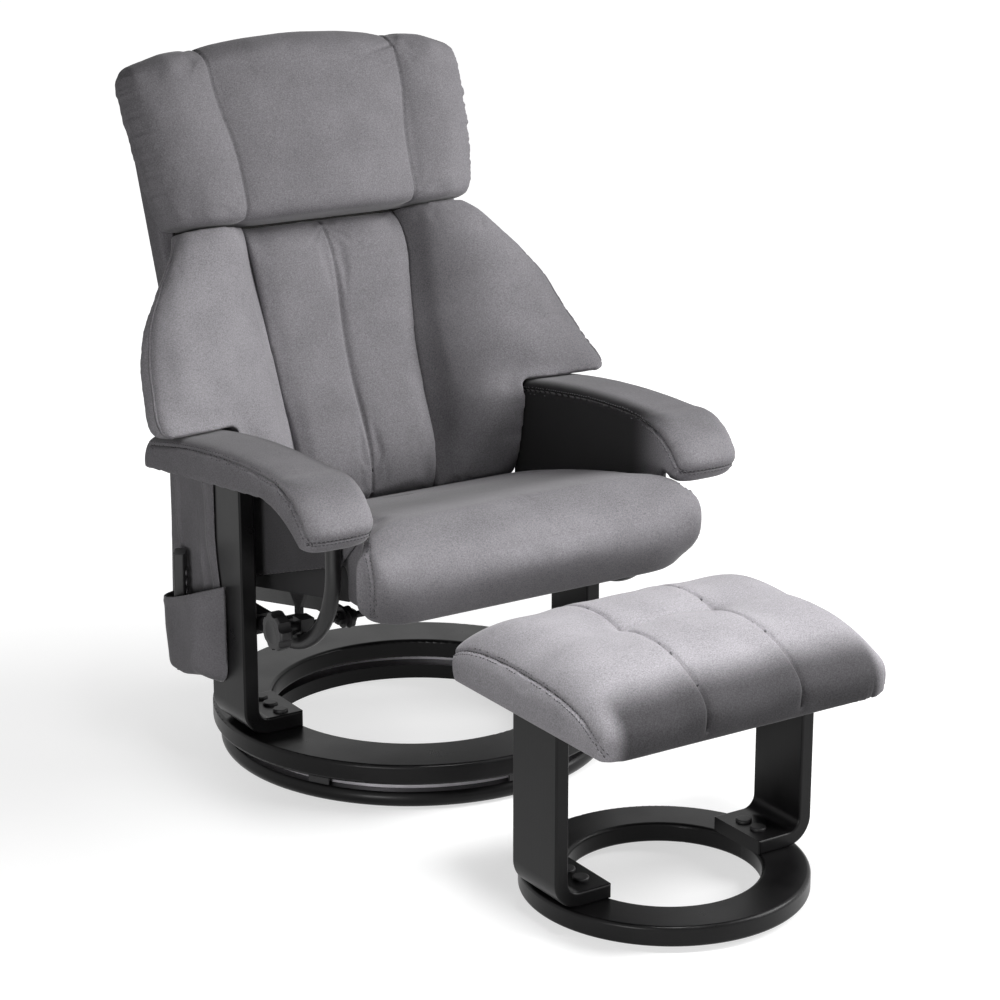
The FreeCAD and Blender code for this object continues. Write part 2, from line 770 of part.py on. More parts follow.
def seat_motor_places():
    """Seat of each motor on the sloping top of the seat base, and the slope's normal."""
    run = BASE_FRONT_Y - BASE_KNEE_Y
    rise = BASE_TOP_FRONT_Z - BASE_TOP_KNEE_Z
    z = BASE_TOP_KNEE_Z + rise * (SEAT_MOTOR_Y - BASE_KNEE_Y) / run
    normal = V(0, rise, -run)
    normal.normalize()
    return [V(sign * SEAT_MOTOR_X, SEAT_MOTOR_Y, z) for sign in SIDES.values()], normal


def seat_motors(gap=0.0):
    places, normal = seat_motor_places()
    radius = MOTOR_DIAMETER / 2 + gap
    return Part.makeCompound([Part.makeCylinder(radius, MOTOR_THICK + gap, at, normal) for at in places])


def even_stations(half, proud):
    """Places across a cushion and how far each outline is drawn in: full, then rounded at the ends."""
    rows = [
        (half, SEAT_SIDE_DRAW), (half - SEAT_EDGE / 2, SEAT_SIDE_DRAW / 3),
        (half - SEAT_EDGE, SEAT_SIDE_DRAW / 6), (half - 3 * SEAT_EDGE, 0), (half / 2, -proud / 2),
    ]
    mirror = [(-x, draw) for x, draw in rows]
    return mirror + [(0, -proud)] + rows[::-1]


def seat_cushion():
    outlines = [seat_outline(x, draw) for x, draw in even_stations(SEAT_HALF_WIDTH, 0)]
    body = Part.makeLoft(outlines, True, True)
    outlines = [roll_outline(x, draw) for x, draw in even_stations(roll_half, ROLL_PROUD)]
    roll = Part.makeLoft(outlines, True, True)
    return body.fuse(roll).cut(seat_motors(SOFT_GAP))


def control_box():
    """A thin case under the seat base with a round inlet in its rear wall."""
    top = base_bottom(BOX_Y - BOX_DEPTH / 2)
    low = base_bottom(BOX_Y + BOX_DEPTH / 2) - BOX_HEIGHT
    front = BOX_Y - BOX_DEPTH / 2
    rear = BOX_Y + BOX_DEPTH / 2
    outline = [(front, low), (rear, low), (rear, base_bottom(rear)), (front, top)]
    case = plate_x(outline, -BOX_WIDTH / 2, BOX_WIDTH / 2)
    inlet_start = V(0, rear - 2 * BOX_WALL, low + BOX_HEIGHT / 2)
    inlet = Part.makeCylinder(INLET_DIAMETER / 2, 2 * BOX_WALL, inlet_start, Y_AXIS)
    return case.cut(inlet)


# Back, modelled upright with its hinge at the origin and then leaned
def back_board():
    rear = BOARD_FRONT + BACK_BOARD_THICK
    board = box((-back_board_half, back_board_half), (BOARD_FRONT, rear), (BACK_BOARD_LOW, BACK_BOARD_HIGH))
    return lean(board)


def crank_place():
    """Crank pin in the upright frame: the crank swings evenly either side of straight down."""
    angle = math.radians(BACK_TILT + RECLINE_RANGE / 2)
    return CRANK_LENGTH * math.sin(angle), -CRANK_LENGTH * math.cos(angle)


def link_bar(start, end, radius, x_from, x_to):
    """A flat bar with round ends between two Y and Z points."""
    along = V(0, end[0] - start[0], end[1] - start[1])
    across = V(0, -along.z, along.y)
    across.normalize()
    corners = []
    for at, sign in ((start, 1), (end, 1), (end, -1), (start, -1)):
        corners.append((at[0] + sign * radius * across.y, at[1] + sign * radius * across.z))
    bar = plate_x(corners, x_from, x_to)
    ends = [rod_x(x_from, x_to, at[0], at[1], radius) for at in (start, end)]
    return bar.fuse(ends).removeSplitter()


def back_hinge_arm_blank(side, gap):
    """The arm, or the slot it sits in when a gap is given."""
    inner = plate_offset - gap
    outer = plate_offset + PLATE_THICK + gap
    rear = BOARD_FRONT + BACK_BOARD_THICK
    eye = PLATE_WIDTH / 2
    bar_rear = rear + 2 * (eye - PLATE_SHELL_MARGIN)
    upright = box((inner, outer), (rear, bar_rear + gap), (0, PLATE_HIGH + gap))
    arm = upright.fuse(rod_x(inner, outer, 0, 0, eye + gap))
    if side == "right":
        arm = arm.fuse(link_bar((0, 0), crank_place(), CRANK_PIN, inner, outer))
    return arm.removeSplitter()


def back_hinge_arm(side):
    bore = rod_x(0, FAR / 2, 0, 0, HINGE_PIN / 2 + PIN_CLEARANCE)
    arm = back_hinge_arm_blank(side, 0).cut(bore)
    if side == "right":
        y, z = crank_place()
        arm = arm.cut(rod_x(0, FAR / 2, y, z, CRANK_PIN / 2))
    return lean(on_side(arm, side))


def hinge_pins():
    inner = plate_offset - PLATE_THICK
    outer = plate_offset + 2 * PLATE_THICK + PLATE_GAP
    pin = rod_x(inner, outer, HINGE_Y, HINGE_Z, HINGE_PIN / 2)
    head = rod_x(outer, outer + PLATE_THICK / 2, HINGE_Y, HINGE_Z, HINGE_PIN)
    whole = pin.fuse(head).removeSplitter()
    return Part.makeCompound([whole, mirrored(whole)])


def crank_pin():
    y, z = crank_place()
    inner = plate_offset - STRUT_CLEARANCE - PLATE_THICK - STRUT_CLEARANCE
    pin = rod_x(inner, plate_offset + PLATE_THICK, y, z, CRANK_PIN / 2)
    head = rod_x(inner - WASHER_THICK, inner, y, z, CRANK_PIN)
    return lean(mirrored(pin.fuse(head).removeSplitter()))


def back_shell():
    """The padded rear of the back, wider above the arms, with a recess for its board."""
    low = shell_half_low
    high = shell_half_high
    points = [
        V(-low, BOARD_FRONT, SHELL_LOW), V(low, BOARD_FRONT, SHELL_LOW),
        V(low, BOARD_FRONT, SHELL_WIDENS - BACK_BOARD_LOW), V(high, BOARD_FRONT, SHELL_WIDENS),
        V(high, BOARD_FRONT, SHELL_HIGH), V(-high, BOARD_FRONT, SHELL_HIGH),
        V(-high, BOARD_FRONT, SHELL_WIDENS), V(-low, BOARD_FRONT, SHELL_WIDENS - BACK_BOARD_LOW),
    ]
    face = Part.Face(Part.makePolygon(points + points[:1]))
    shell = face.extrude(V(0, SHELL_REAR - BOARD_FRONT, 0))
    rear_edges = [e for e in shell.Edges if e.BoundBox.YMin > SHELL_REAR - NEAR]
    shell = shell.makeFillet(SHELL_ROUND, rear_edges)
    gap = SOFT_GAP
    recess = box(
        (-back_board_half - gap, back_board_half + gap),
        (BOARD_FRONT, BOARD_FRONT + BACK_BOARD_THICK),
        (BACK_BOARD_LOW - gap, BACK_BOARD_HIGH + gap),
    )
    slots = [on_side(back_hinge_arm_blank(side, gap), side) for side in SIDES]
    return lean(shell.cut(recess).cut(Part.makeCompound(slots)))


def panel_half(height):
    share = (height - PAD_LOW) / (PAD_HIGH - PAD_LOW)
    return lerp(PANEL_HALF_LOW, PANEL_HALF_HIGH, share)


def back_motors(gap=0.0):
    motors = []
    for height in BACK_MOTOR_HEIGHTS:
        for sign in SIDES.values():
            at = V(sign * BACK_MOTOR_X, BOARD_FRONT, height)
            motors.append(Part.makeCylinder(MOTOR_DIAMETER / 2 + gap, MOTOR_THICK + gap, at, -Y_AXIS))
    return Part.makeCompound(motors)


def panel_outline(height, draw):
    """Cross-section of the centre panel: two channels that meet at a sewn middle line."""
    half = panel_half(height) - SOFT_GAP
    rear = BOARD_FRONT - SOFT_GAP
    crown = BACK_FRONT + draw
    seam = BACK_SEAM + draw
    return trace(
        V(-half, seam, height),
        (V(-half / 2, crown, height), V(0, seam - PANEL_SEAM_PROUD, height)),
        (V(half / 2, crown, height), V(half, seam, height)),
        V(half, rear, height),
        V(-half, rear, height),
    )


def back_cushion():
    inset = SEAT_EDGE
    ease = PANEL_END_DRAW
    stations = [
        (PAD_LOW, inset), (PAD_LOW + inset, ease), (PAD_HIGH / 2, 0),
        (PAD_HIGH - inset, ease), (PAD_HIGH, inset),
    ]
    pad = soft_loft([panel_outline(height, draw) for height, draw in stations])
    return lean(pad.cut(back_motors(SOFT_GAP)))


# Outer edge of a wing: height over the pad's foot, reach past the seat's side, and how far forward
WING_EDGE_LINE = (
    (0.0, 7.0, -86.0),
    (60.0, 54.0, -132.0),
    (116.0, 112.0, -196.0),
    (132.0, 130.0, -200.0),
    (157.0, 136.0, -191.0),
    (182.0, 133.0, -181.0),
    (244.0, 118.0, -155.0),
    (301.0, 100.0, -143.0),
    (361.0, 64.0, -128.0),
    (413.0, 24.0, -110.0),
    (434.0, 4.0, -94.0),
)


def wing_outline(rise, reach, forward):
    """Cross-section of a wing: a full front from the panel seam to the rolled outer edge."""
    height = PAD_LOW + rise
    outer = SEAT_HALF_WIDTH + reach
    inner = panel_half(height) + SOFT_GAP
    rear = BOARD_FRONT - SOFT_GAP
    rear_outer = min(forward + WING_EDGE, rear - WING_REAR_GAP)
    seam = V(inner, BACK_SEAM, height)
    front = V(outer - SEAT_EDGE, forward, height)
    full = (seam + front) / 2 - V(0, WING_FULL, 0)
    return trace(
        seam,
        (full, front),
        (V(outer, (forward + rear_outer) / 2, height), V(outer - SEAT_EDGE, rear_outer, height)),
        V(inner, rear, height),
    )


def arm_top(share):
    """A point on the arm's top line, part of the way from its rear to its nose."""
    swell = ARM_TOP_SAG * 4 * share * (1 - share)
    return (
        lerp(ARM_TOP_REAR_Y, ARM_NOSE_TOP_Y, share),
        lerp(ARM_TOP_REAR_Z, ARM_NOSE_TOP_Z, share) + swell + WING_ARM_GAP,
    )


def arm_keep_out():
    """Space over and beside an arm that the wing stays clear of."""
    rear_z = ARM_TOP_REAR_Z + WING_ARM_GAP
    crown = [arm_top(number / ARM_TOP_STEPS) for number in range(ARM_TOP_STEPS + 1)]
    front_z = crown[-1][1] + ARM_NOSE_TOP_SAG
    outline = [(FAR / 4, 0), (FAR / 4, rear_z)] + crown + [(-FAR / 4, front_z), (-FAR / 4, 0)]
    return plate_x(outline, arm_inner - WING_SIDE_GAP, FAR / 2)


def wing(side):
    pad = Part.makeLoft([wing_outline(*row) for row in WING_EDGE_LINE], True, True)
    return on_side(lean(pad).cut(arm_keep_out()), side)


def head_rib(low, high, front, drop):
    """Section of the headrest, tilted sideways: a rolled top, a full front and a rolled foot."""
    rear = BOARD_FRONT - SOFT_GAP
    top = HEAD_HIGH - drop
    points = [
        V(0, rear, top), V(0, front + HEAD_LEAN, top - HEAD_ROLL), V(0, front, HEAD_LOW + HEAD_FOOT),
        V(0, front + HEAD_FOOT, HEAD_LOW), V(0, rear, HEAD_LOW),
    ]
    rib = bowed(points, [HEAD_ROLL_SAG, HEAD_BELLY, HEAD_FOOT_SAG, 0, 0])
    tilt = math.degrees(math.atan2(high - low, HEAD_HIGH - HEAD_LOW))
    rib.rotate(V(0, 0, HEAD_LOW), Y_AXIS, tilt)
    rib.translate(V(low, 0, 0))
    return rib


def headrest():
    """Three channels between rolled ends, drawn through upright ribs."""
    side_low = (HEAD_SEAM_LOW + HEAD_HALF_LOW) / 2
    side_high = (HEAD_SEAM_HIGH + HEAD_HALF_HIGH) / 2
    shoulder_low = HEAD_HALF_LOW - HEAD_SHOULDER_IN
    shoulder_high = HEAD_HALF_HIGH - HEAD_SHOULDER_IN
    ribs = [
        (HEAD_HALF_LOW, HEAD_HALF_HIGH, HEAD_END_FRONT, HEAD_END_DROP),
        (shoulder_low, shoulder_high, HEAD_SHOULDER_FRONT, HEAD_SHOULDER_DROP),
        (side_low, side_high, HEAD_SIDE_FRONT, HEAD_SIDE_DROP),
        (HEAD_SEAM_LOW, HEAD_SEAM_HIGH, HEAD_SEAM_FRONT, HEAD_SEAM_DROP),
        (HEAD_SEAM_LOW / 2, HEAD_SEAM_HIGH / 2, HEAD_FRONT + HEAD_BELLY, HEAD_BELLY),
    ]
    mirror = [(-low, -high, front, drop) for low, high, front, drop in ribs]
    middle = [(0, 0, HEAD_FRONT, 0)]
    wires = [head_rib(*rib) for rib in mirror + middle + ribs[::-1]]
    return lean(Part.makeLoft(wires, True, True))


# Recline strut, clamp rod and knob, on the right
def strut_plane():
    outer = plate_offset - STRUT_CLEARANCE
    return -outer, -(outer - PLATE_THICK)


def crank_world():
    """Crank pin where the chair rests."""
    angle = math.radians(RECLINE_RANGE / 2)
    return HINGE_Y + CRANK_LENGTH * math.sin(angle), HINGE_Z - CRANK_LENGTH * math.cos(angle)


def slot_travel():
    """How far the strut moves forward, and the rise of its slot that halves the crank's dip."""
    angle = math.radians(RECLINE_RANGE / 2)
    return 2 * CRANK_LENGTH * math.sin(angle), CRANK_LENGTH * (1 - math.cos(angle)) / 2


def recline_strut():
    """A bent flat bar: an eye on the crank, and a long slot round the clamp rod."""
    x_from, x_to = strut_plane()
    radius = STRUT_WIDTH / 2
    bend = (STRUT_BEND_Y, KNOB_Z)
    slot_radius = rod_radius + SLOT_CLEARANCE
    nose = (KNOB_Y - slot_radius - radius / 2, KNOB_Z)
    bar = link_bar(nose, bend, radius, x_from, x_to)
    bar = bar.fuse(link_bar(bend, crank_world(), radius, x_from, x_to))
    travel, rise = slot_travel()
    slot_z = KNOB_Z + rise
    slot = link_bar((KNOB_Y, slot_z), (KNOB_Y + travel, slot_z), slot_radius, x_from, x_to)
    y, z = crank_world()
    eye = rod_x(x_from, x_to, y, z, CRANK_PIN / 2 + PIN_CLEARANCE)
    return bar.removeSplitter().cut(slot).cut(eye)


def clamp_block():
    """A boss on the right side tube that the clamp rod turns in."""
    half = CLAMP_WIDTH / 2
    block = box(
        (-tube_offset - CLAMP_OUT, -tube_offset + CLAMP_IN),
        (KNOB_Y - half, KNOB_Y + half),
        (KNOB_Z - CLAMP_HEIGHT / 2, KNOB_Z + CLAMP_HEIGHT / 2),
    )
    bore = rod_x(-FAR / 4, FAR / 4, KNOB_Y, KNOB_Z, rod_radius + PIN_CLEARANCE)
    return block.cut(mirrored(tube_solid(tube_radius))).cut(bore)


def knob():
    """A lobed hand knob with a dished face and a hub towards the chair."""
    radius = KNOB_DIAMETER / 2
    face = -knob_offset
    back = face + KNOB_THICK
    disc = rod_x(face, back, KNOB_Y, KNOB_Z, radius)
    rim = [e for e in disc.Edges if e.BoundBox.XLength < TOUCH]
    disc = disc.makeFillet(KNOB_THICK / 5, rim)
    flute = radius / 3
    for number in range(KNOB_LOBES):
        angle = 2 * math.pi * number / KNOB_LOBES
        y = KNOB_Y + (radius + flute / 2) * math.cos(angle)
        z = KNOB_Z + (radius + flute / 2) * math.sin(angle)
        disc = disc.cut(rod_x(face, back, y, z, flute))
    dish_radius = radius * KNOB_DISH_SHARE
    dish_depth = KNOB_THICK / 6
    ball = (dish_radius ** 2 + dish_depth ** 2) / (2 * dish_depth)
    disc = disc.cut(Part.makeSphere(ball, V(face + dish_depth - ball, KNOB_Y, KNOB_Z)))
    hub_end = rod_radius + KNOB_HUB_WALL
    hub = Part.makeCone(KNOB_HUB_DIAMETER / 2, hub_end, KNOB_HUB_LENGTH, V(back, KNOB_Y, KNOB_Z), X_AXIS)
    core = rod_x(back - KNOB_THICK / 2, FAR / 4, KNOB_Y, KNOB_Z, rod_radius)
    return disc.fuse(hub).removeSplitter().cut(core)


def clamp_rod():
    start = -knob_offset + KNOB_THICK / 2
    return rod_x(start, -ROD_END, KNOB_Y, KNOB_Z, rod_radius)


def clamp_washers():
    """Two cheeks on the rod that grip the strut."""
    x_outer, x_inner = strut_plane()
    cheeks = []
    for x in (x_outer - RUN_GAP - WASHER_THICK, x_inner + RUN_GAP):
        disc = rod_x(x, x + WASHER_THICK, KNOB_Y, KNOB_Z, WASHER_DIAMETER / 2)
        cheeks.append(disc.cut(rod_x(x, x + WASHER_THICK, KNOB_Y, KNOB_Z, rod_radius)))
    return Part.makeCompound(cheeks)


def clamp_nuts():
    """Hexagon nuts that hold the cheeks on the rod."""
    x_outer, x_inner = strut_plane()
    starts = (x_outer - RUN_GAP - WASHER_THICK - NUT_THICK, x_inner + RUN_GAP + WASHER_THICK)
    reach = NUT_WIDTH / math.sqrt(3)
    nuts = []
    for x in starts:
        corners = []
        for number in range(6):
            angle = math.pi / 3 * number
            corners.append((KNOB_Y + reach * math.cos(angle), KNOB_Z + reach * math.sin(angle)))
        blank = plate_x(corners, x, x + NUT_THICK)
        nuts.append(blank.cut(rod_x(x, x + NUT_THICK, KNOB_Y, KNOB_Z, rod_radius)))
    return Part.makeCompound(nuts)


# Side pocket and handset, on the right
def pocket_block(inset):
    """The pouch's outer form, or its hollow when an inset is given."""
    inner = -pocket_inner - inset
    outer = -pocket_outer + inset
    low = POCKET_LOW + inset
    plan = [
        V(inner, POCKET_FRONT_Y + inset, low), V(outer, POCKET_FULL_FRONT_Y, low),
        V(outer, POCKET_FULL_REAR_Y, low), V(inner, POCKET_REAR_Y - inset, low),
    ]
    return Part.Face(Part.makePolygon(plan + plan[:1])).extrude(V(0, 0, FAR))


def pocket_side(inset, x_from, x_to):
    """The pouch's side view, with its mouth and round lower corners, pushed along X."""
    front = POCKET_FRONT_Y + inset
    rear = POCKET_REAR_Y - inset
    low = POCKET_LOW + inset
    front_round = POCKET_FRONT_ROUND - inset
    rear_round = POCKET_REAR_ROUND - inset
    short = 1 - math.sqrt(0.5)
    outline = trace(
        V(x_from, front, MOUTH_FRONT_Z),
        V(x_from, front, low + front_round),
        (
            V(x_from, front + short * front_round, low + short * front_round),
            V(x_from, front + front_round, low),
        ),
        V(x_from, rear - rear_round, low),
        (
            V(x_from, rear - short * rear_round, low + short * rear_round),
            V(x_from, rear, low + rear_round),
        ),
        V(x_from, rear, MOUTH_REAR_Z),
    )
    return Part.Face(outline).extrude(V(x_to - x_from, 0, 0))


def side_pocket():
    """A cloth patch pocket with a sloping mouth on a panel that hangs from under the arm."""
    inside = -pocket_inner - POCKET_WALL
    hollow = pocket_block(POCKET_WALL).common(pocket_side(POCKET_WALL, -FAR / 2, inside))
    hollow = hollow.fuse(hollow.translated(V(0, 0, POCKET_WALL))).removeSplitter()
    pouch = pocket_block(0).common(pocket_side(0, -FAR / 2, -pocket_inner)).cut(hollow)
    panel_outline_yz = [
        (HANGER_FRONT_Y, arm_under(HANGER_FRONT_Y) - SOFT_GAP),
        (HANGER_REAR_Y, arm_under(HANGER_REAR_Y) - SOFT_GAP),
        (POCKET_REAR_Y, MOUTH_REAR_Z),
        (POCKET_REAR_Y, POCKET_LOW + POCKET_REAR_ROUND),
        (POCKET_FRONT_Y, POCKET_LOW + POCKET_FRONT_ROUND),
        (POCKET_FRONT_Y, MOUTH_FRONT_Z),
    ]
    panel = plate_x(panel_outline_yz, inside, -pocket_inner)
    return pouch.fuse(panel).removeSplitter()


def handset_centre():
    """The handset's middle line in the pouch, at its lower end."""
    x = -(pocket_inner + pocket_outer) / 2
    return V(x, HANDSET_Y, POCKET_LOW + POCKET_WALL + SOFT_GAP)


def handset_place():
    """Lower front corner of the handset before it is turned in the pouch."""
    return handset_centre() - V(HANDSET_WIDTH / 2, HANDSET_THICK / 2, 0)


def turned(shape):
    """Turns a piece of the handset about the handset's middle line."""
    placed = shape.copy()
    placed.rotate(handset_centre(), Z_AXIS, HANDSET_TURN)
    return placed


def button_places():
    """Centres of the buttons on the handset's broad face, top row first."""
    corner = handset_place()
    middle = corner.x + HANDSET_WIDTH / 2
    places = []
    for row in range(BUTTON_ROWS):
        z = corner.z + HANDSET_LENGTH - BUTTON_TOP_MARGIN - row * BUTTON_PITCH
        for sign in (-1, 1):
            places.append(V(middle + sign * BUTTON_PITCH / 2, corner.y, z))
    return places


def handset_case():
    """A hollow moulded case with a rounded edge and a well for each button."""
    corner = handset_place()
    case = Part.makeBox(HANDSET_WIDTH, HANDSET_THICK, HANDSET_LENGTH, corner)
    upright = [e for e in case.Edges if e.BoundBox.ZLength > HANDSET_LENGTH / 2]
    case = case.makeFillet(HANDSET_WALL * 2, upright)
    wall = V(HANDSET_WALL, HANDSET_WALL, HANDSET_WALL)
    hollow = Part.makeBox(
        HANDSET_WIDTH - 2 * HANDSET_WALL, HANDSET_THICK - 2 * HANDSET_WALL,
        HANDSET_LENGTH - 2 * HANDSET_WALL, corner + wall,
    )
    case = case.cut(hollow)
    well = BUTTON_DIAMETER / 2 + BUTTON_GAP
    for at in button_places():
        case = case.cut(Part.makeCylinder(well, 2 * HANDSET_WALL, at - Y_AXIS, Y_AXIS))
    return turned(case)


def handset_board():
    """The circuit board that the buttons press on, on the case's rear wall."""
    corner = handset_place()
    travel_space = HANDSET_WALL + BUTTON_FLANGE + BUTTON_TRAVEL + BUTTON_GAP
    inset = HANDSET_WALL + BUTTON_GAP
    board = box(
        (corner.x + inset, corner.x + HANDSET_WIDTH - inset),
        (corner.y + travel_space, corner.y + HANDSET_THICK - HANDSET_WALL),
        (corner.z + HANDSET_LENGTH / 2, corner.z + HANDSET_LENGTH - inset),
    )
    return turned(board)


def handset_button(at):
    """A round key with a flange behind the case's face."""
    key_length = BUTTON_PROUD + HANDSET_WALL + BUTTON_GAP / 2
    key = Part.makeCylinder(BUTTON_DIAMETER / 2, key_length, at - V(0, BUTTON_PROUD, 0), Y_AXIS)
    flange_at = at + V(0, HANDSET_WALL + BUTTON_GAP / 2, 0)
    flange = Part.makeCylinder(BUTTON_DIAMETER / 2 + 2 * BUTTON_GAP, BUTTON_FLANGE, flange_at, Y_AXIS)
    return turned(key.fuse(flange).removeSplitter())


# Footstool
def stool_centre(z=0.0):
    return V(STOOL_X, STOOL_Y, z)


def stool_ring():
    disc = ring(STOOL_RING_INNER, STOOL_RING_OUTER, STOOL_GLIDE_HEIGHT, stool_ring_top, stool_centre())
    return disc.makeFillet(TURNTABLE_ROUND, disc.Edges)


def stool_glides():
    middle = (STOOL_RING_INNER + STOOL_RING_OUTER) / 2
    glides = []
    for number in range(STOOL_GLIDE_COUNT):
        angle = math.pi / 2 * number
        at = stool_centre() + V(middle * math.cos(angle), middle * math.sin(angle), 0)
        glides.append(Part.makeCylinder(STOOL_GLIDE_DIAMETER / 2, STOOL_GLIDE_HEIGHT, at))
    return Part.makeCompound(glides)


def stool_leg(side):
    blank = bent_leg(
        STOOL_FOOT_END, STOOL_LEG_OUTER, STOOL_LEG_THICK, STOOL_LEG_BEND,
        stool_ring_top, STOOL_SEAT_LOW, 0, STOOL_LEG_WIDTH,
    )
    placed = on_side(blank, side)
    placed.translate(stool_centre())
    return placed


def stool_bolt_caps():
    x = (STOOL_FOOT_END + STOOL_LEG_OUTER - STOOL_LEG_BEND) / 2
    caps = []
    for sign in SIDES.values():
        caps += cap_row(STOOL_X + sign * x, STOOL_Y, stool_ring_top + STOOL_LEG_THICK, STOOL_CAP_COUNT)
    return Part.makeCompound(caps)


def stool_board_blank(gap):
    half_x = STOOL_WIDTH / 2 - STOOL_BOARD_MARGIN / 2 + gap
    half_y = STOOL_DEPTH / 2 - STOOL_BOARD_MARGIN + gap
    return box(
        (STOOL_X - half_x, STOOL_X + half_x),
        (STOOL_Y - half_y, STOOL_Y + half_y),
        (STOOL_SEAT_LOW, STOOL_SEAT_LOW + STOOL_BOARD_THICK + gap),
    )


def stool_outline(x, drop, draw):
    """Side outline of the stool cushion at one X: two crowned halves and a sewn middle line."""
    front = STOOL_Y - STOOL_DEPTH / 2 + draw + STOOL_BULGE
    rear = STOOL_Y + STOOL_DEPTH / 2 - draw - STOOL_BULGE
    edge = STOOL_SEAT_LOW + STOOL_EDGE_HEIGHT
    top = STOOL_SEAT_LOW + STOOL_CROWN - drop
    seam = top - STOOL_TUFT_DROP / 3
    swell = top - (edge + seam) / 2
    points = [
        V(x, rear, STOOL_SEAT_LOW), V(x, rear, edge), V(x, STOOL_Y, seam),
        V(x, front, edge), V(x, front, STOOL_SEAT_LOW),
    ]
    return bowed(points, [STOOL_BULGE, swell, swell, STOOL_BULGE, 0])


def stool_cushion():
    half = STOOL_WIDTH / 2
    outer = (half + STOOL_TUFT_X) / 2
    stations = [
        (-half, STOOL_END_DROP, STOOL_END_DRAW), (-half + SEAT_EDGE, STOOL_END_DROP / 2, STOOL_EDGE_DRAW),
        (-outer, STOOL_SIDE_DROP, 0), (-STOOL_TUFT_X, STOOL_TUFT_DROP / 2, 0), (0, 0, 0),
    ]
    stations += [(-x, drop, draw) for x, drop, draw in reversed(stations[:-1])]
    pad = soft_loft([stool_outline(STOOL_X + x, drop, draw) for x, drop, draw in stations])
    return pad.cut(stool_board_blank(SOFT_GAP))


def stool_board():
    return stool_board_blank(0)


def all_pieces():
    """Every node's name and solid."""
    low = floor_ring_top
    race = (BEARING_SPACE - RACE_SLIT) / 2
    pieces = {
        "floor_pad": floor_pad(),
        "floor_ring": floor_ring(),
        "glide_blocks": glide_blocks(),
        "lower_race": bearing_race(low, low + race),
        "upper_race": bearing_race(turntable_low, turntable_low - race),
        "bearing_balls": bearing_balls(),
        "ball_cage": ball_cage(),
        "turntable_ring": turntable_ring(),
        "leg_bolt_caps": leg_bolt_caps(),
        "seat_base": seat_base(),
        "seat_cushion": seat_cushion(),
        "seat_motors": seat_motors(),
        "control_box": control_box(),
        "hinge_pins": hinge_pins(),
        "back_board": back_board(),
        "back_shell": back_shell(),
        "back_cushion": back_cushion(),
        "back_motors": lean(back_motors()),
        "headrest": headrest(),
        "crank_pin": crank_pin(),
        "recline_strut": recline_strut(),
        "clamp_block": clamp_block(),
        "knob": knob(),
        "clamp_rod": clamp_rod(),
        "clamp_washers": clamp_washers(),
        "clamp_nuts": clamp_nuts(),
        "side_pocket": side_pocket(),
        "handset_case": handset_case(),
        "handset_board": handset_board(),
        "stool_ring": stool_ring(),
        "stool_glides": stool_glides(),
        "stool_bolt_caps": stool_bolt_caps(),
        "stool_board": stool_board(),
        "stool_cushion": stool_cushion(),
    }
    makers = {
        "leg": leg, "arm_pad": arm_pad, "arm_board": arm_board, "side_tube": side_tube,
        "tube_saddle": tube_saddle, "seat_post": seat_post, "seat_hinge_plate": seat_hinge_plate,
        "back_hinge_arm": back_hinge_arm, "wing": wing, "stool_leg": stool_leg,
    }
    for name, make in makers.items():
        for side in SIDES:
            pieces[f"{name}_{side}"] = make(side)
    for number, at in enumerate(button_places(), 1):
        pieces[f"handset_button_{number}"] = handset_button(at)
    return pieces


os.makedirs("parts", exist_ok=True)
for node, shape in all_pieces().items():
    if not shape.isValid():
        print("not valid:", node)
    print(f"{node}: {len(shape.Solids)} solid, {shape.Volume / 1000:.1f} cm3")
    shape.exportStep(f"parts/{node}.step")
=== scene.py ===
# %% [markdown]
# # A velvet swivel recliner and its footstool
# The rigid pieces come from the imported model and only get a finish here. The soft pieces start
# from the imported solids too: each is copied, remeshed, blown up a little by the cloth solver while
# its sewn lines are held, and then gets its seams, puckers and stitches from formulas.

# %% Load the frame
import json
import math
import bmesh
import bpy
import numpy as np
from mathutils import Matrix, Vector
from mathutils.bvhtree import BVHTree


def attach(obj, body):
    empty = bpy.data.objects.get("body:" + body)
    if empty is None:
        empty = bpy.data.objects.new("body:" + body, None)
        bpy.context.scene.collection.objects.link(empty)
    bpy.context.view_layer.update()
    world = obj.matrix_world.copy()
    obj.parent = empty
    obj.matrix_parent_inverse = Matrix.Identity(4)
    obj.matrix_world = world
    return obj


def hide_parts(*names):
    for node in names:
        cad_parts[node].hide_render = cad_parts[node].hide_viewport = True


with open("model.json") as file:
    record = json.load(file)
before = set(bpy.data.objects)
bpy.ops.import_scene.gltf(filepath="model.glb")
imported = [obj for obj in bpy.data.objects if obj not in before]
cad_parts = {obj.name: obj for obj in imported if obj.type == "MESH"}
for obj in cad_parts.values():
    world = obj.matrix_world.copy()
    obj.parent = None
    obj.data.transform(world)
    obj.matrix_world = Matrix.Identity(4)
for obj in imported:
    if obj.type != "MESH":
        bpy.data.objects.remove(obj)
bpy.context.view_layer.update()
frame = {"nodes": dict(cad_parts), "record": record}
scene = bpy.context.scene

# %% [markdown]
# ## Where the pieces are
# Points on the back are easiest to give along the back: across, forward of the hinge, and up the
# back from the hinge. One small rotation puts them in the room. Lengths are metres.

# %% The frame of the back
recline = next(j for j in frame["record"]["behaviour"]["joints"] if j["name"] == "recline")
HINGE = np.array(recline["pos_m"])
BACK_TILT = math.radians(20.0)


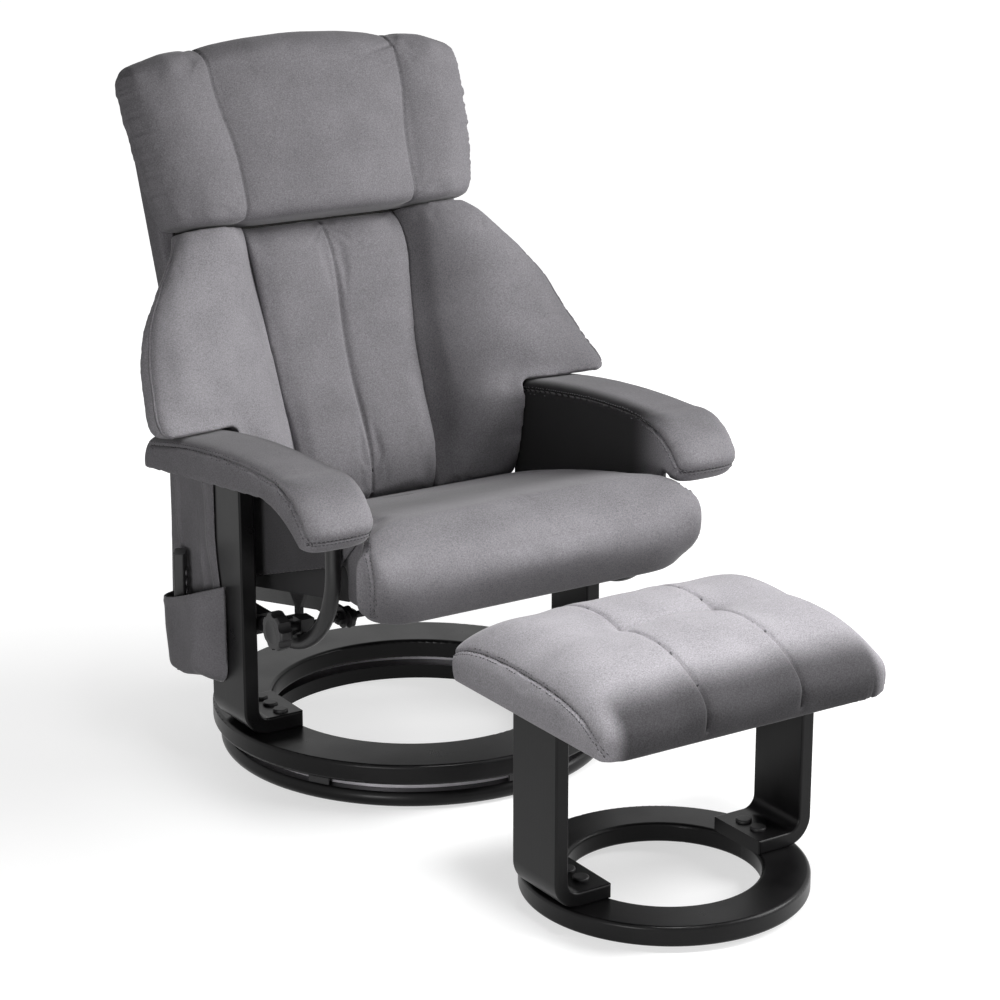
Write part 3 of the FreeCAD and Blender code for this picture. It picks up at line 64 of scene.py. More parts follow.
def on_back(points):
    """Turns (across, forward, up-the-back) into room points: a rotation by the tilt about the hinge."""
    points = np.asarray(points, float)
    across, depth, height = points[..., 0], points[..., 1], points[..., 2]
    y = HINGE[1] + depth * math.cos(BACK_TILT) + height * math.sin(BACK_TILT)
    z = HINGE[2] - depth * math.sin(BACK_TILT) + height * math.cos(BACK_TILT)
    return np.stack([across, y, z], axis=-1)


def from_back(points):
    """Turns room points into (across, forward, up-the-back): the same rotation undone."""
    points = np.asarray(points, float)
    y = points[..., 1] - HINGE[1]
    z = points[..., 2] - HINGE[2]
    depth = y * math.cos(BACK_TILT) - z * math.sin(BACK_TILT)
    height = y * math.sin(BACK_TILT) + z * math.cos(BACK_TILT)
    return np.stack([points[..., 0], depth, height], axis=-1)


print("hinge at", HINGE.round(3))

# %% [markdown]
# ## Camera
# The camera stands low in front of the sitter's right, about four metres away. Its long lens keeps
# upright lines nearly parallel, as in a catalogue picture.

# %% Camera
CAMERA_PLACE = Vector((-1.9707, -3.2703, 1.535))
CAMERA_TURN = math.radians(-33.0)
CAMERA_PITCH = math.radians(16.98)
PHOTO_PIXELS = 1000.0
FOCAL_PIXELS = 2699.0
SENSOR_MM = 36.0

camera_data = bpy.data.cameras.new("camera")
camera_data.sensor_width = SENSOR_MM
camera_data.lens = FOCAL_PIXELS / PHOTO_PIXELS * SENSOR_MM
camera = bpy.data.objects.new("camera", camera_data)
camera.location = CAMERA_PLACE
camera.rotation_euler = (math.pi / 2 - CAMERA_PITCH, 0, CAMERA_TURN)
scene.collection.objects.link(camera)
scene.camera = camera
scene.view_settings.view_transform = "Standard"
print("lens", round(camera_data.lens, 1), "mm")

# %% [markdown]
# ## Floor and lamps
# A studio floor is a roll of pale paper. It is lifted to white for the camera and for reflections,
# and a little less near the object, so the soft shadow stays. Area lamps stand in for soft boxes.


# %% Floor and lamps
FLOOR_SIZE = 12.0
SHADOW_MIDDLE = (0, -0.3, 0)
SHADOW_NEAR, SHADOW_FAR = 0.3, 1.6
ROOM_LIGHT = 0.07


def new_material(name):
    """An empty node material with its Principled shader."""
    material = bpy.data.materials.new(name)
    material.use_nodes = True
    return material, material.node_tree, material.node_tree.nodes["Principled BSDF"]


def seen_directly(tree):
    """1 for rays from the camera, or by way of a mirror or glass, and 0 for light that falls on things."""
    path = tree.nodes.new("ShaderNodeLightPath")
    seen = path.outputs["Is Camera Ray"]
    for ray in ("Is Glossy Ray", "Is Transmission Ray"):
        either = tree.nodes.new("ShaderNodeMath")
        either.operation = "MAXIMUM"
        tree.links.new(seen, either.inputs[0])
        tree.links.new(path.outputs[ray], either.inputs[1])
        seen = either.outputs["Value"]
    return seen


def make_floor():
    """A large square, lifted to white for the camera and reflections, least near the object, where shadows lie."""
    corners = np.array([(-1, -1, 0), (1, -1, 0), (1, 1, 0), (-1, 1, 0)], float) * FLOOR_SIZE
    mesh = bpy.data.meshes.new("floor")
    mesh.from_pydata(corners.tolist(), [], [(0, 1, 2, 3)])
    floor = bpy.data.objects.new("floor", mesh)
    scene.collection.objects.link(floor)
    material, tree, shader = new_material("floor_paper")
    shader.inputs["Base Color"].default_value = (0.42, 0.42, 0.42, 1)
    shader.inputs["Roughness"].default_value = 0.9
    shader.inputs["Specular IOR Level"].default_value = 0.1
    shader.inputs["Emission Color"].default_value = (1, 1, 1, 1)
    place = tree.nodes.new("ShaderNodeTexCoord")
    reach = tree.nodes.new("ShaderNodeVectorMath")
    reach.operation = "DISTANCE"
    reach.inputs[1].default_value = SHADOW_MIDDLE
    ramp = tree.nodes.new("ShaderNodeMapRange")
    ramp.inputs["From Min"].default_value = SHADOW_NEAR
    ramp.inputs["From Max"].default_value = SHADOW_FAR
    ramp.inputs["To Min"].default_value = 0.6
    ramp.inputs["To Max"].default_value = 1.0
    lift = tree.nodes.new("ShaderNodeMath")
    lift.operation = "MULTIPLY"
    tree.links.new(place.outputs["Object"], reach.inputs[0])
    tree.links.new(reach.outputs["Value"], ramp.inputs["Value"])
    tree.links.new(ramp.outputs["Result"], lift.inputs[1])
    tree.links.new(seen_directly(tree), lift.inputs[0])
    tree.links.new(lift.outputs["Value"], shader.inputs["Emission Strength"])
    mesh.materials.append(material)


def make_lamp(name, place, aim, size, power, spread=180):
    """A square area lamp turned to face its aim, with its spread in degrees."""
    data = bpy.data.lights.new(name, "AREA")
    data.size = size
    data.energy = power
    data.spread = math.radians(spread)
    lamp = bpy.data.objects.new(name, data)
    lamp.location = place
    lamp.rotation_euler = (Vector(aim) - Vector(place)).to_track_quat("-Z", "Y").to_euler()
    scene.collection.objects.link(lamp)


make_floor()
make_lamp("key_lamp", (2.7, -1.9, 2.2), (0, -0.3, 0.5), 2.2, 178)
make_lamp("top_lamp", (-0.2, -1.0, 2.5), (0, -0.72, 0.4), 0.7, 6, 50)
make_lamp("side_lamp", (-2.4, -1.9, 0.55), (-0.2, -0.4, 0.4), 0.8, 32)
world = bpy.data.worlds.new("studio")
scene.world = world
world.use_nodes = True
world_nodes = world.node_tree.nodes
world_links = world.node_tree.links
background = world_nodes["Background"]
background.inputs["Color"].default_value = (1, 1, 1, 1)
brightness = world_nodes.new("ShaderNodeMapRange")
brightness.inputs["To Min"].default_value = ROOM_LIGHT
brightness.inputs["To Max"].default_value = 1.0
world_links.new(seen_directly(world.node_tree), brightness.inputs["Value"])
world_links.new(brightness.outputs["Result"], background.inputs["Strength"])

# %% [markdown]
# ## Shared surface effects
# Three node groups serve many finishes. The first mottles a colour, as dye and brushing do. The
# second gives a fine bump height. The third draws long wood fibres along one direction.


# %% Node groups
def new_group(name, inputs, outputs):
    """A shader node group with named sockets, given as (name, type, value)."""
    group = bpy.data.node_groups.new(name, "ShaderNodeTree")
    for label, kind, value in inputs:
        socket = group.interface.new_socket(label, in_out="INPUT", socket_type=kind)
        socket.default_value = value
    for label, kind in outputs:
        group.interface.new_socket(label, in_out="OUTPUT", socket_type=kind)
    return group, group.nodes.new("NodeGroupInput"), group.nodes.new("NodeGroupOutput")


COLOUR = "NodeSocketColor"
NUMBER = "NodeSocketFloat"


def make_mottle_group():
    """Two noises, broad and fine, mix a dark and a light colour."""
    group, start, end = new_group(
        "mottle",
        [("Dark", COLOUR, (0.1, 0.1, 0.1, 1)), ("Light", COLOUR, (0.2, 0.2, 0.2, 1)),
         ("Broad Scale", NUMBER, 6.0), ("Fine Scale", NUMBER, 240.0), ("Fine Share", NUMBER, 0.4)],
        [("Color", COLOUR), ("Mask", NUMBER)],
    )
    nodes, links = group.nodes, group.links
    place = nodes.new("ShaderNodeTexCoord")
    broad = nodes.new("ShaderNodeTexNoise")
    fine = nodes.new("ShaderNodeTexNoise")
    broad.inputs["Detail"].default_value = 4.0
    fine.inputs["Detail"].default_value = 2.0
    blend = nodes.new("ShaderNodeMix")
    colours = nodes.new("ShaderNodeMix")
    colours.data_type = "RGBA"
    for noise, label in ((broad, "Broad Scale"), (fine, "Fine Scale")):
        links.new(place.outputs["Object"], noise.inputs["Vector"])
        links.new(start.outputs[label], noise.inputs["Scale"])
    links.new(start.outputs["Fine Share"], blend.inputs["Factor"])
    links.new(broad.outputs["Fac"], blend.inputs["A"])
    links.new(fine.outputs["Fac"], blend.inputs["B"])
    stretch = nodes.new("ShaderNodeMapRange")
    stretch.inputs["From Min"].default_value = 0.3
    stretch.inputs["From Max"].default_value = 0.7
    links.new(blend.outputs["Result"], stretch.inputs["Value"])
    links.new(stretch.outputs["Result"], colours.inputs["Factor"])
    links.new(start.outputs["Dark"], colours.inputs["A"])
    links.new(start.outputs["Light"], colours.inputs["B"])
    links.new(colours.outputs["Result"], end.inputs["Color"])
    links.new(stretch.outputs["Result"], end.inputs["Mask"])
    return group


def make_streak_group(name, scale, label, stretch, detail):
    """Noise drawn out along Z: little for the short fibres of a pile, a lot for wood grain."""
    group, start, end = new_group(name, [("Scale", NUMBER, scale), (label, NUMBER, stretch)], [("Height", NUMBER)])
    nodes, links = group.nodes, group.links
    place = nodes.new("ShaderNodeTexCoord")
    squeeze = nodes.new("ShaderNodeCombineXYZ")
    squeeze.inputs["X"].default_value = 1.0
    squeeze.inputs["Y"].default_value = 1.0
    scaled = nodes.new("ShaderNodeVectorMath")
    scaled.operation = "MULTIPLY"
    noise = nodes.new("ShaderNodeTexNoise")
    noise.inputs["Detail"].default_value = detail
    links.new(start.outputs[label], squeeze.inputs["Z"])
    links.new(place.outputs["Object"], scaled.inputs[0])
    links.new(squeeze.outputs["Vector"], scaled.inputs[1])
    links.new(scaled.outputs["Vector"], noise.inputs["Vector"])
    links.new(start.outputs["Scale"], noise.inputs["Scale"])
    links.new(noise.outputs["Fac"], end.inputs["Height"])
    return group


MOTTLE = make_mottle_group()
PILE = make_streak_group("pile", 900.0, "Stretch", 0.35, 2.0)
FIBRE = make_streak_group("wood_fibre", 260.0, "Along", 0.06, 5.0)
print("groups:", [g.name for g in (MOTTLE, PILE, FIBRE)])


# %% [markdown]
# ## How a finish is made
# One function builds every finish from the groups, so that a finish is only a row of numbers. The velvet
# also reads painted light and shade kept on each piece, which makes its colour lighter or darker.


# %% Finish builder
# The name of the attribute that holds each piece's painted light and shade.
PAINTED_LIGHT_ATTRIBUTE = "painted_light"


def place_group(tree, group, values):
    """Puts a node group in a material and sets its inputs."""
    node = tree.nodes.new("ShaderNodeGroup")
    node.node_tree = group
    for label, value in values.items():
        node.inputs[label].default_value = value
    return node


def finish_of(name, dark, light, rough, broad=6.0, fine=240.0, fine_share=0.4, height=None,
              height_values=None, bump=0.0, depth=0.0005, sheen=0.0, coat=0.0, metal=0.0, specular=0.5, painted_light=False):
    """A mottled colour, a roughness that follows the mottle, and a bump from a height group.

    With painted_light, the colour is multiplied by one plus the painted light and shade kept on the piece at each
    point.
    """
    material, tree, shader = new_material(name)
    links = tree.links
    mottle = place_group(tree, MOTTLE, {
        "Dark": (*dark, 1), "Light": (*light, 1), "Broad Scale": broad, "Fine Scale": fine, "Fine Share": fine_share,
    })
    # Painted light and shade: the colour is scaled by a value kept on each piece.
    if painted_light:
        painted_light_node = tree.nodes.new("ShaderNodeAttribute")
        painted_light_node.attribute_name = PAINTED_LIGHT_ATTRIBUTE
        factor = tree.nodes.new("ShaderNodeMath")
        factor.inputs[1].default_value = 1.0
        toned = tree.nodes.new("ShaderNodeVectorMath")
        toned.operation = "SCALE"
        links.new(painted_light_node.outputs["Fac"], factor.inputs[0])
        links.new(mottle.outputs["Color"], toned.inputs[0])
        links.new(factor.outputs["Value"], toned.inputs["Scale"])
        links.new(toned.outputs["Vector"], shader.inputs["Base Color"])
    else:
        links.new(mottle.outputs["Color"], shader.inputs["Base Color"])
    roughness = tree.nodes.new("ShaderNodeMapRange")
    roughness.inputs["To Min"].default_value = rough[0]
    roughness.inputs["To Max"].default_value = rough[1]
    links.new(mottle.outputs["Mask"], roughness.inputs["Value"])
    links.new(roughness.outputs["Result"], shader.inputs["Roughness"])
    if height is not None:
        lift = place_group(tree, height, height_values or {})
        bump_node = tree.nodes.new("ShaderNodeBump")
        bump_node.inputs["Strength"].default_value = bump
        bump_node.inputs["Distance"].default_value = depth
        links.new(lift.outputs["Height"], bump_node.inputs["Height"])
        links.new(bump_node.outputs["Normal"], shader.inputs["Normal"])
    shader.inputs["Sheen Weight"].default_value = sheen
    shader.inputs["Sheen Roughness"].default_value = 0.35
    shader.inputs["Coat Weight"].default_value = coat
    shader.inputs["Coat Roughness"].default_value = 0.12
    shader.inputs["Metallic"].default_value = metal
    shader.inputs["Specular IOR Level"].default_value = specular
    return material


# %% [markdown]
# ## Finishes
# Velvet is a rough cloth whose upright fibres catch light at the edges, so it gets a sheen. The
# wood is black lacquer with faint fibres. Tubes are powder coated, knobs and caps are grained
# plastic, and the bearing shows zinc-grey steel.


# %% Finishes
def grey(level):
    """A neutral grey with a trace of violet."""
    return (level, level * 0.965, level * 1.025)


# The velvet's colour takes the painted light and shade kept on each piece.
VELVET = finish_of("grey_velvet", grey(0.13), grey(0.25), (0.85, 1.0), broad=16.0, fine=560.0,
                   fine_share=0.75, height=PILE, bump=0.25, sheen=0.22, specular=0.05, painted_light=True)
POCKET_CLOTH = finish_of("pocket_velvet", grey(0.13), grey(0.23), (0.85, 1.0), broad=14.0, fine=520.0,
                         fine_share=0.6, height=PILE, bump=0.25, sheen=0.5, specular=0.1)
LACQUER = finish_of("black_lacquer", grey(0.003), grey(0.007), (0.26, 0.4), broad=14.0, fine=500.0,
                    fine_share=0.2, height=FIBRE, bump=0.08, coat=0.02, specular=0.14)
POWDER_COAT = finish_of("black_powder_coat", grey(0.005), grey(0.01), (0.36, 0.48), broad=30.0,
                        fine=1400.0, fine_share=0.7, height=PILE, specular=0.35,
                        height_values={"Scale": 1800.0, "Stretch": 1.0}, bump=0.12)
GRAINED_PLASTIC = finish_of("black_grained_plastic", grey(0.01), grey(0.017), (0.42, 0.55), broad=40.0,
                            fine=1600.0, fine_share=0.7, height=PILE, specular=0.4,
                            height_values={"Scale": 1500.0, "Stretch": 1.0}, bump=0.15)
ZINC = finish_of("zinc_steel", grey(0.5), grey(0.66), (0.3, 0.45), broad=60.0, fine=700.0, metal=0.5)
RUBBER = finish_of("black_rubber", grey(0.012), grey(0.02), (0.7, 0.85), broad=30.0, fine=900.0)
# Painted shade: the plain board is made near black, so where it shows in gaps it reads as shadow.
BOARD_BLACKED_AS_SHADOW = finish_of("plywood_blacked_as_shadow", (0.010, 0.009, 0.008), (0.020, 0.018, 0.016), (0.6, 0.75), broad=4.0,
                    fine=90.0, height=FIBRE, bump=0.15)
DUST_COVER = finish_of("black_dust_cover", grey(0.012), grey(0.022), (0.85, 0.95), broad=12.0, fine=900.0,
                       fine_share=0.6, height=PILE, height_values={"Scale": 1100.0, "Stretch": 1.0}, bump=0.3)
SOFT_KEYS = finish_of("grey_soft_keys", grey(0.1), grey(0.14), (0.6, 0.7), broad=80.0, fine=1500.0)
CIRCUIT = finish_of("green_circuit_board", (0.01, 0.09, 0.035), (0.02, 0.15, 0.06), (0.35, 0.5), broad=90.0,
                    fine=600.0)
THREAD = finish_of("grey_thread", grey(0.045), grey(0.08), (0.75, 0.9), broad=200.0, fine=1500.0)
FINISHES = {
    "rubber": RUBBER, "black_wood": LACQUER, "bearing_steel": ZINC, "black_plastic": GRAINED_PLASTIC,
    "black_steel": POWDER_COAT, "plain_board": BOARD_BLACKED_AS_SHADOW, "dust_cover": DUST_COVER, "grey_velvet": VELVET,
    "pocket_cloth": POCKET_CLOTH, "handset_plastic": GRAINED_PLASTIC, "circuit_board": CIRCUIT,
    "button_plastic": SOFT_KEYS,
}
node_slots = {row["node"]: row["material_slot"] for row in frame["record"]["subparts"]}
for node_name, node_object in frame["nodes"].items():
    node_object.data.materials.clear()
    node_object.data.materials.append(FINISHES[node_slots[node_name]])
print("finishes on", len(node_slots), "nodes")

# %% [markdown]
# ## Whole meshes as arrays
# A mesh is easiest to shape as one array of places. Distances to a sewn line drive most of the
# formulas below, and a smooth step fades every effect in and out.


# %% Mesh arrays
def vertex_array(mesh):
    """All vertex places as one array."""
    flat = np.empty(len(mesh.vertices) * 3)
    mesh.vertices.foreach_get("co", flat)
    return flat.reshape(-1, 3)


def normal_array(mesh):
    """All vertex normals as one array."""
    flat = np.empty(len(mesh.vertices) * 3)
    mesh.vertex_normals.foreach_get("vector", flat)
    return flat.reshape(-1, 3)


def write_vertices(mesh, places):
    """Puts an array of places back into the mesh."""
    mesh.vertices.foreach_set("co", np.ascontiguousarray(places, float).ravel())
    mesh.update()


def smooth_step(value, low, high):
    """Rises smoothly from 0 at the low value to 1 at the high one."""
    share = np.clip((value - low) / (high - low), 0, 1)
    return share * share * (3 - 2 * share)


def line_distance(points, line):
    """Distance from each point to a chain of straight pieces, the length along it and the nearest place."""
    line = np.asarray(line, float)
    best = np.full(len(points), np.inf)
    along = np.zeros(len(points))
    nearest = np.zeros_like(points)
    done = 0.0
    for start, end in zip(line[:-1], line[1:]):
        step = end - start
        length = np.linalg.norm(step)
        share = np.clip((points - start) @ step / length ** 2, 0, 1)
        place = start + share[:, None] * step
        gap = np.linalg.norm(points - place, axis=1)
        closer = gap < best
        best[closer] = gap[closer]
        along[closer] = done + share[closer] * length
        nearest[closer] = place[closer]
        done += length
    return best, along, nearest


# %% [markdown]
# ## Making a cushion
# A cushion cover is sewn smaller than its filling, so the cloth swells between the seams. Each soft
# solid is copied, remeshed into even squares and blown up by the cloth solver while its sewn lines
# are held. How far a point may move is capped, and fades to nothing where a neighbour is close.

# %% Copying and swelling
VOXEL = 0.006
SIM_FRAMES = 16


def worked_mesh(piece):
    """The piece's mesh with its modifiers worked in."""
    bpy.context.view_layer.update()
    depsgraph = bpy.context.evaluated_depsgraph_get()
    return bpy.data.meshes.new_from_object(piece.evaluated_get(depsgraph))


def work_in(piece, kind, **settings):
    """Adds one modifier, works it into the mesh and takes it off again."""
    modifier = piece.modifiers.new(kind.lower(), kind)
    for label, value in settings.items():
        setattr(modifier, label, value)
    mesh = worked_mesh(piece)
    piece.modifiers.clear()
    piece.data = mesh


def soft_copy(node, name, voxel=VOXEL, rounds=8):
    """A merged, evenly remeshed and slightly rounded copy of a packed soft solid."""
    mesh = frame["nodes"][node].data.copy()
    work = bmesh.new()
    work.from_mesh(mesh)
    bmesh.ops.remove_doubles(work, verts=work.verts, dist=1e-5)
    work.to_mesh(mesh)
    work.free()
    piece = bpy.data.objects.new(name, mesh)
    scene.collection.objects.link(piece)
    work_in(piece, "REMESH", mode="VOXEL", voxel_size=voxel)
    if rounds:
        work_in(piece, "SMOOTH", factor=0.5, iterations=rounds)
    return piece


def swell(piece, pinned, free=1.0, pressure=4.0, cap=0.024):
    """Blows the piece up with the cloth solver; sewn lines stay, and moves are capped and faded."""
    start = vertex_array(piece.data)
    held = piece.vertex_groups.new(name="sewn")
    held.add(np.flatnonzero(pinned).tolist(), 1.0, "REPLACE")
    cloth = piece.modifiers.new("cloth", "CLOTH")
    settings = cloth.settings
    settings.quality = 4
    settings.mass = 0.3
    settings.tension_stiffness = 10
    settings.compression_stiffness = 10
    settings.shear_stiffness = 5
    settings.bending_stiffness = 0.5
    settings.use_pressure = True
    settings.uniform_pressure_force = pressure
    settings.vertex_group_mass = "sewn"
    settings.effector_weights.gravity = 0
    cloth.collision_settings.use_collision = False
    cloth.point_cache.frame_start = 1
    cloth.point_cache.frame_end = SIM_FRAMES
    for number in range(1, SIM_FRAMES + 1):
        scene.frame_set(number)
    swollen = vertex_array(worked_mesh(piece))
    piece.modifiers.clear()
    scene.frame_set(1)
    move = swollen - start
    length = np.linalg.norm(move, axis=1, keepdims=True)
    fade = np.broadcast_to(np.asarray(free, float).reshape(-1, 1), length.shape)
    move *= fade * np.minimum(1, cap / np.maximum(length, 1e-9))
    write_vertices(piece.data, start + move)
    print(piece.name, "swelled", (np.percentile(length, [50, 90, 100]) * 1000).round(1), "mm")


def refine(piece):
    """One smooth subdivision, worked in."""
    work_in(piece, "SUBSURF", levels=1, render_levels=1)


def ease(piece, weight, rounds):
    """Smooths the piece only where the weight says, by mixing in a smoothed copy of its places."""
    before = vertex_array(piece.data)
    work_in(piece, "SMOOTH", factor=0.5, iterations=rounds)
    after = vertex_array(piece.data)
    write_vertices(piece.data, before + (after - before) * weight[:, None])


# %% [markdown]
# ## Seams and gathers
# A seam pulls the cloth down in a narrow crease with a wider hollow round it. Gathers are uneven
# waves along a seam. A seam's line is laid on the surface, so it fits whatever the solver made.

# %% Seams
SEAM_CATCH = 0.0017
CREASE_WIDTH = 0.0022


def gather(piece, along, strength, height=0.002, wave=0.016, seed=1):
    """Gathers the cloth: uneven waves along a seam, as high as the strength allows at each point."""
    random = np.random.default_rng(seed)
    phase = along / wave * 2 * math.pi
    wobble = np.zeros(len(along))
    for rate in (0.31, 0.57, 1.0, 1.43):
        wobble += random.uniform(0.3, 0.7) * np.sin(phase * rate + random.uniform(0, 6.28))
    places = vertex_array(piece.data)
    lift = height * wobble * strength
    write_vertices(piece.data, places + normal_array(piece.data) * lift[:, None])


def surface_tree(piece):
    """A search tree of the piece's faces."""
    faces = [tuple(face.vertices) for face in piece.data.polygons]
    return BVHTree.FromPolygons(vertex_array(piece.data).tolist(), faces)


def even_line(points, step=0.004, rounds=12):
    """Points at even steps along a chain, rounded by averaging each with its neighbours."""
    points = np.asarray(points, float)
    lengths = np.concatenate([[0], np.cumsum(np.linalg.norm(np.diff(points, axis=0), axis=1))])
    places = np.linspace(0, lengths[-1], max(3, int(lengths[-1] / step)))
    line = np.stack([np.interp(places, lengths, points[:, axis]) for axis in range(3)], axis=1)
    for _ in range(rounds):
        line[1:-1] = 0.25 * line[:-2] + 0.5 * line[1:-1] + 0.25 * line[2:]
    return line


def lay_on(piece, line):
    """The nearest places on the piece and the outward directions there."""
    tree = surface_tree(piece)
    found = [tree.find_nearest(point) for point in np.asarray(line).tolist()]
    return np.array([hit[0] for hit in found]), np.array([hit[1] for hit in found])


def cast_on(piece, starts, aims):
    """Where straight lines from the starts towards the aims first meet the piece; misses are left out."""
    tree = surface_tree(piece)
    hits = [tree.ray_cast(Vector(a), Vector(b) - Vector(a))[0] for a, b in zip(starts.tolist(), aims.tolist())]
    return np.array([hit for hit in hits if hit is not None])


def sew(piece, line, depth=0.002, width=0.008, crease=0.0016, fade=0.0):
    """Presses a seam in: nearby points slide onto the line, then sink by depth and crease bells of the gap."""
    places = vertex_array(piece.data)
    gap, along, nearest = line_distance(places, line)
    close = gap < SEAM_CATCH
    places[close] = nearest[close]
    gap[close] = 0
    ends = np.linalg.norm(np.diff(line, axis=0), axis=1).sum()
    keep = smooth_step(np.minimum(along, ends - along), -1e-6, fade) if fade else 1.0
    sink = keep * (depth * np.exp(-(gap / width) ** 1.3) + crease * np.exp(-(gap / CREASE_WIDTH) ** 2))
    write_vertices(piece.data, places - normal_array(piece.data) * sink[:, None])
    return gap, along


# %% [markdown]
# ## Stitches and cords
# Top stitching is a row of short threads on each side of a seam, and their ends dip into the cloth.
# A cord is a round tube along an edge. Both are built from whole arrays of rings.

# %% Stitches and cords
STITCH_ROWS = (-0.0034, 0.0034)
THREAD_SIDES = 6
STITCH_RINGS = np.array([-0.5, -0.38, -0.15, 0.15, 0.38, 0.5])
STITCH_GIRTHS = np.array([0.35, 0.85, 1.0, 1.0, 0.85, 0.35])
STITCH_LIFTS = np.array([-0.9, 0.0, 0.35, 0.35, 0.0, -0.9])


def stitch_rows(name, piece, body, line, pitch=0.0056, length=0.0042, radius=0.0007):
    """Rows of stitches beside a seam: each is a short tube whose ends dip into the cloth."""
    vertices, faces = [], []
    for offset in STITCH_ROWS:
        base = even_line(line, pitch, 2)
        spot, normal = lay_on(piece, base)
        ahead = np.gradient(spot, axis=0)
        ahead /= np.linalg.norm(ahead, axis=1, keepdims=True)
        aside = np.cross(normal, ahead)
        spot, normal = lay_on(piece, spot + aside * offset)
        aside = np.cross(normal, ahead)
        turn = np.arange(THREAD_SIDES) * 2 * math.pi / THREAD_SIDES
        ring = spot[:, None] + ahead[:, None] * (STITCH_RINGS * length)[None, :, None]
        ring = ring + normal[:, None] * (STITCH_LIFTS * radius)[None, :, None]
        around = aside[:, None] * np.cos(turn)[None, :, None] + normal[:, None] * np.sin(turn)[None, :, None]
        tube = ring[:, :, None] + around[:, None] * (STITCH_GIRTHS * radius)[None, :, None, None]
        first = sum(len(block) for block in vertices)
        vertices.append(tube.reshape(-1, 3))
        stitch, along, side = np.meshgrid(
            np.arange(len(spot)), np.arange(len(STITCH_RINGS) - 1), np.arange(THREAD_SIDES), indexing="ij")
        place = first + (stitch * len(STITCH_RINGS) + along) * THREAD_SIDES
        after = (side + 1) % THREAD_SIDES
        beyond = place + THREAD_SIDES
        quads = np.stack([place + side, place + after, beyond + after, beyond + side], -1)
        faces.append(quads.reshape(-1, 4))
    return new_piece(name, np.concatenate(vertices), np.concatenate(faces), body, THREAD)


def tube_along(name, line, radius, body, finish, sides=10):
    """A round cord along a line, its ends drawn to points."""
    ahead = np.gradient(line, axis=0)
    ahead /= np.linalg.norm(ahead, axis=1, keepdims=True)
    aside = np.cross(ahead, (0.0, 0.0, 1.0))
    aside /= np.linalg.norm(aside, axis=1, keepdims=True)
    over = np.cross(aside, ahead)
    turn = np.arange(sides) * 2 * math.pi / sides
    girth = radius * np.minimum(1, np.minimum(np.arange(len(line)), np.arange(len(line))[::-1]) / 2)
    around = aside[:, None] * np.cos(turn)[None, :, None] + over[:, None] * np.sin(turn)[None, :, None]
    rings = line[:, None] + around * girth[:, None, None]
    row, side = np.meshgrid(np.arange(len(line) - 1), np.arange(sides), indexing="ij")
    after = (side + 1) % sides
    first, second = row * sides, (row + 1) * sides
    quads = np.stack([first + side, first + after, second + after, second + side], -1)
    return new_piece(name, rings.reshape(-1, 3), quads.reshape(-1, 4), body, finish)


def new_piece(name, vertices, faces, body, finish):
    """A smooth piece from whole arrays of places and faces, riding on a body."""
    mesh = bpy.data.meshes.new(name)
    mesh.from_pydata(vertices.tolist(), [], faces.tolist())
    mesh.validate()
    mesh.shade_smooth()
    mesh.materials.append(finish)
    piece = bpy.data.objects.new(name, mesh)
    scene.collection.objects.link(piece)
    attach(piece, body)
    print(name, len(faces), "faces")
    return piece


# %% [markdown]
# ## Dressing a piece
# Each finished piece gets its painted light and shade and its finish. It is told which imported solid it stands
# for and which body carries it.


# %% Dressing
def paint_light_and_shade(piece, marks):
    """Keeps painted light and shade on the piece: above 0 the velvet's colour is painted lighter, below 0 darker."""
    values = np.broadcast_to(np.asarray(marks, float), len(piece.data.vertices))
    layer = piece.data.attributes.new(PAINTED_LIGHT_ATTRIBUTE, "FLOAT", "POINT")
    layer.data.foreach_set("value", np.ascontiguousarray(values))


def dress(piece, node, body, finish):
    """Gives the piece its finish, hangs it on its body and hides the imported solid it stands for."""
    piece.data.materials.clear()
    piece.data.materials.append(finish)
    piece.data.shade_smooth()
    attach(piece, body)
    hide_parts(node)
    print(piece.name, len(piece.data.polygons), "faces")


# %% [markdown]
# ## The headrest
# Three filled channels meet at two sewn lines that spread towards the top. The end seams gather the
# cloth, so short folds run in from both ends, and a few longer ones pull at the left seam's top.

# %% Headrest
HEAD_LOW, HEAD_HIGH = 0.466, 0.752
HEAD_SEAM_LOW, HEAD_SEAM_HIGH = 0.144, 0.160
HEAD_END_LOW, HEAD_END_HIGH = 0.268, 0.298
HEAD_ROUND = 0.11


def head_measures(piece):
    """Back-frame places, gap to the nearer channel seam, and gap to the end seam."""
    spot = from_back(vertex_array(piece.data))
    share = (spot[:, 2] - HEAD_LOW) / (HEAD_HIGH - HEAD_LOW)
    seam = np.abs(spot[:, 0]) - (HEAD_SEAM_LOW + (HEAD_SEAM_HIGH - HEAD_SEAM_LOW) * share)
    end = (HEAD_END_LOW + (HEAD_END_HIGH - HEAD_END_LOW) * share) - np.abs(spot[:, 0])
    return spot, seam, end


def head_seam(piece, sign):
    """The channel seam: lines cast at the pad from below its front round to behind its top."""
    turn = np.radians(np.linspace(-84, 150, 130))
    middle = np.array([0, -0.07, 0.61])
    away = middle + 0.6 * np.stack([0 * turn, -np.cos(turn), np.sin(turn)], axis=1)
    share = np.clip((middle[2] + 0.17 * np.sin(turn) - HEAD_LOW) / (HEAD_HIGH - HEAD_LOW), 0, 1)
    across = sign * (HEAD_SEAM_LOW + (HEAD_SEAM_HIGH - HEAD_SEAM_LOW) * share)
    starts = np.stack([across, away[:, 1], away[:, 2]], axis=1)
    aims = np.stack([across, np.full_like(across, middle[1]), np.full_like(across, middle[2])], axis=1)
    return even_line(cast_on(piece, on_back(starts), on_back(aims)), rounds=4)


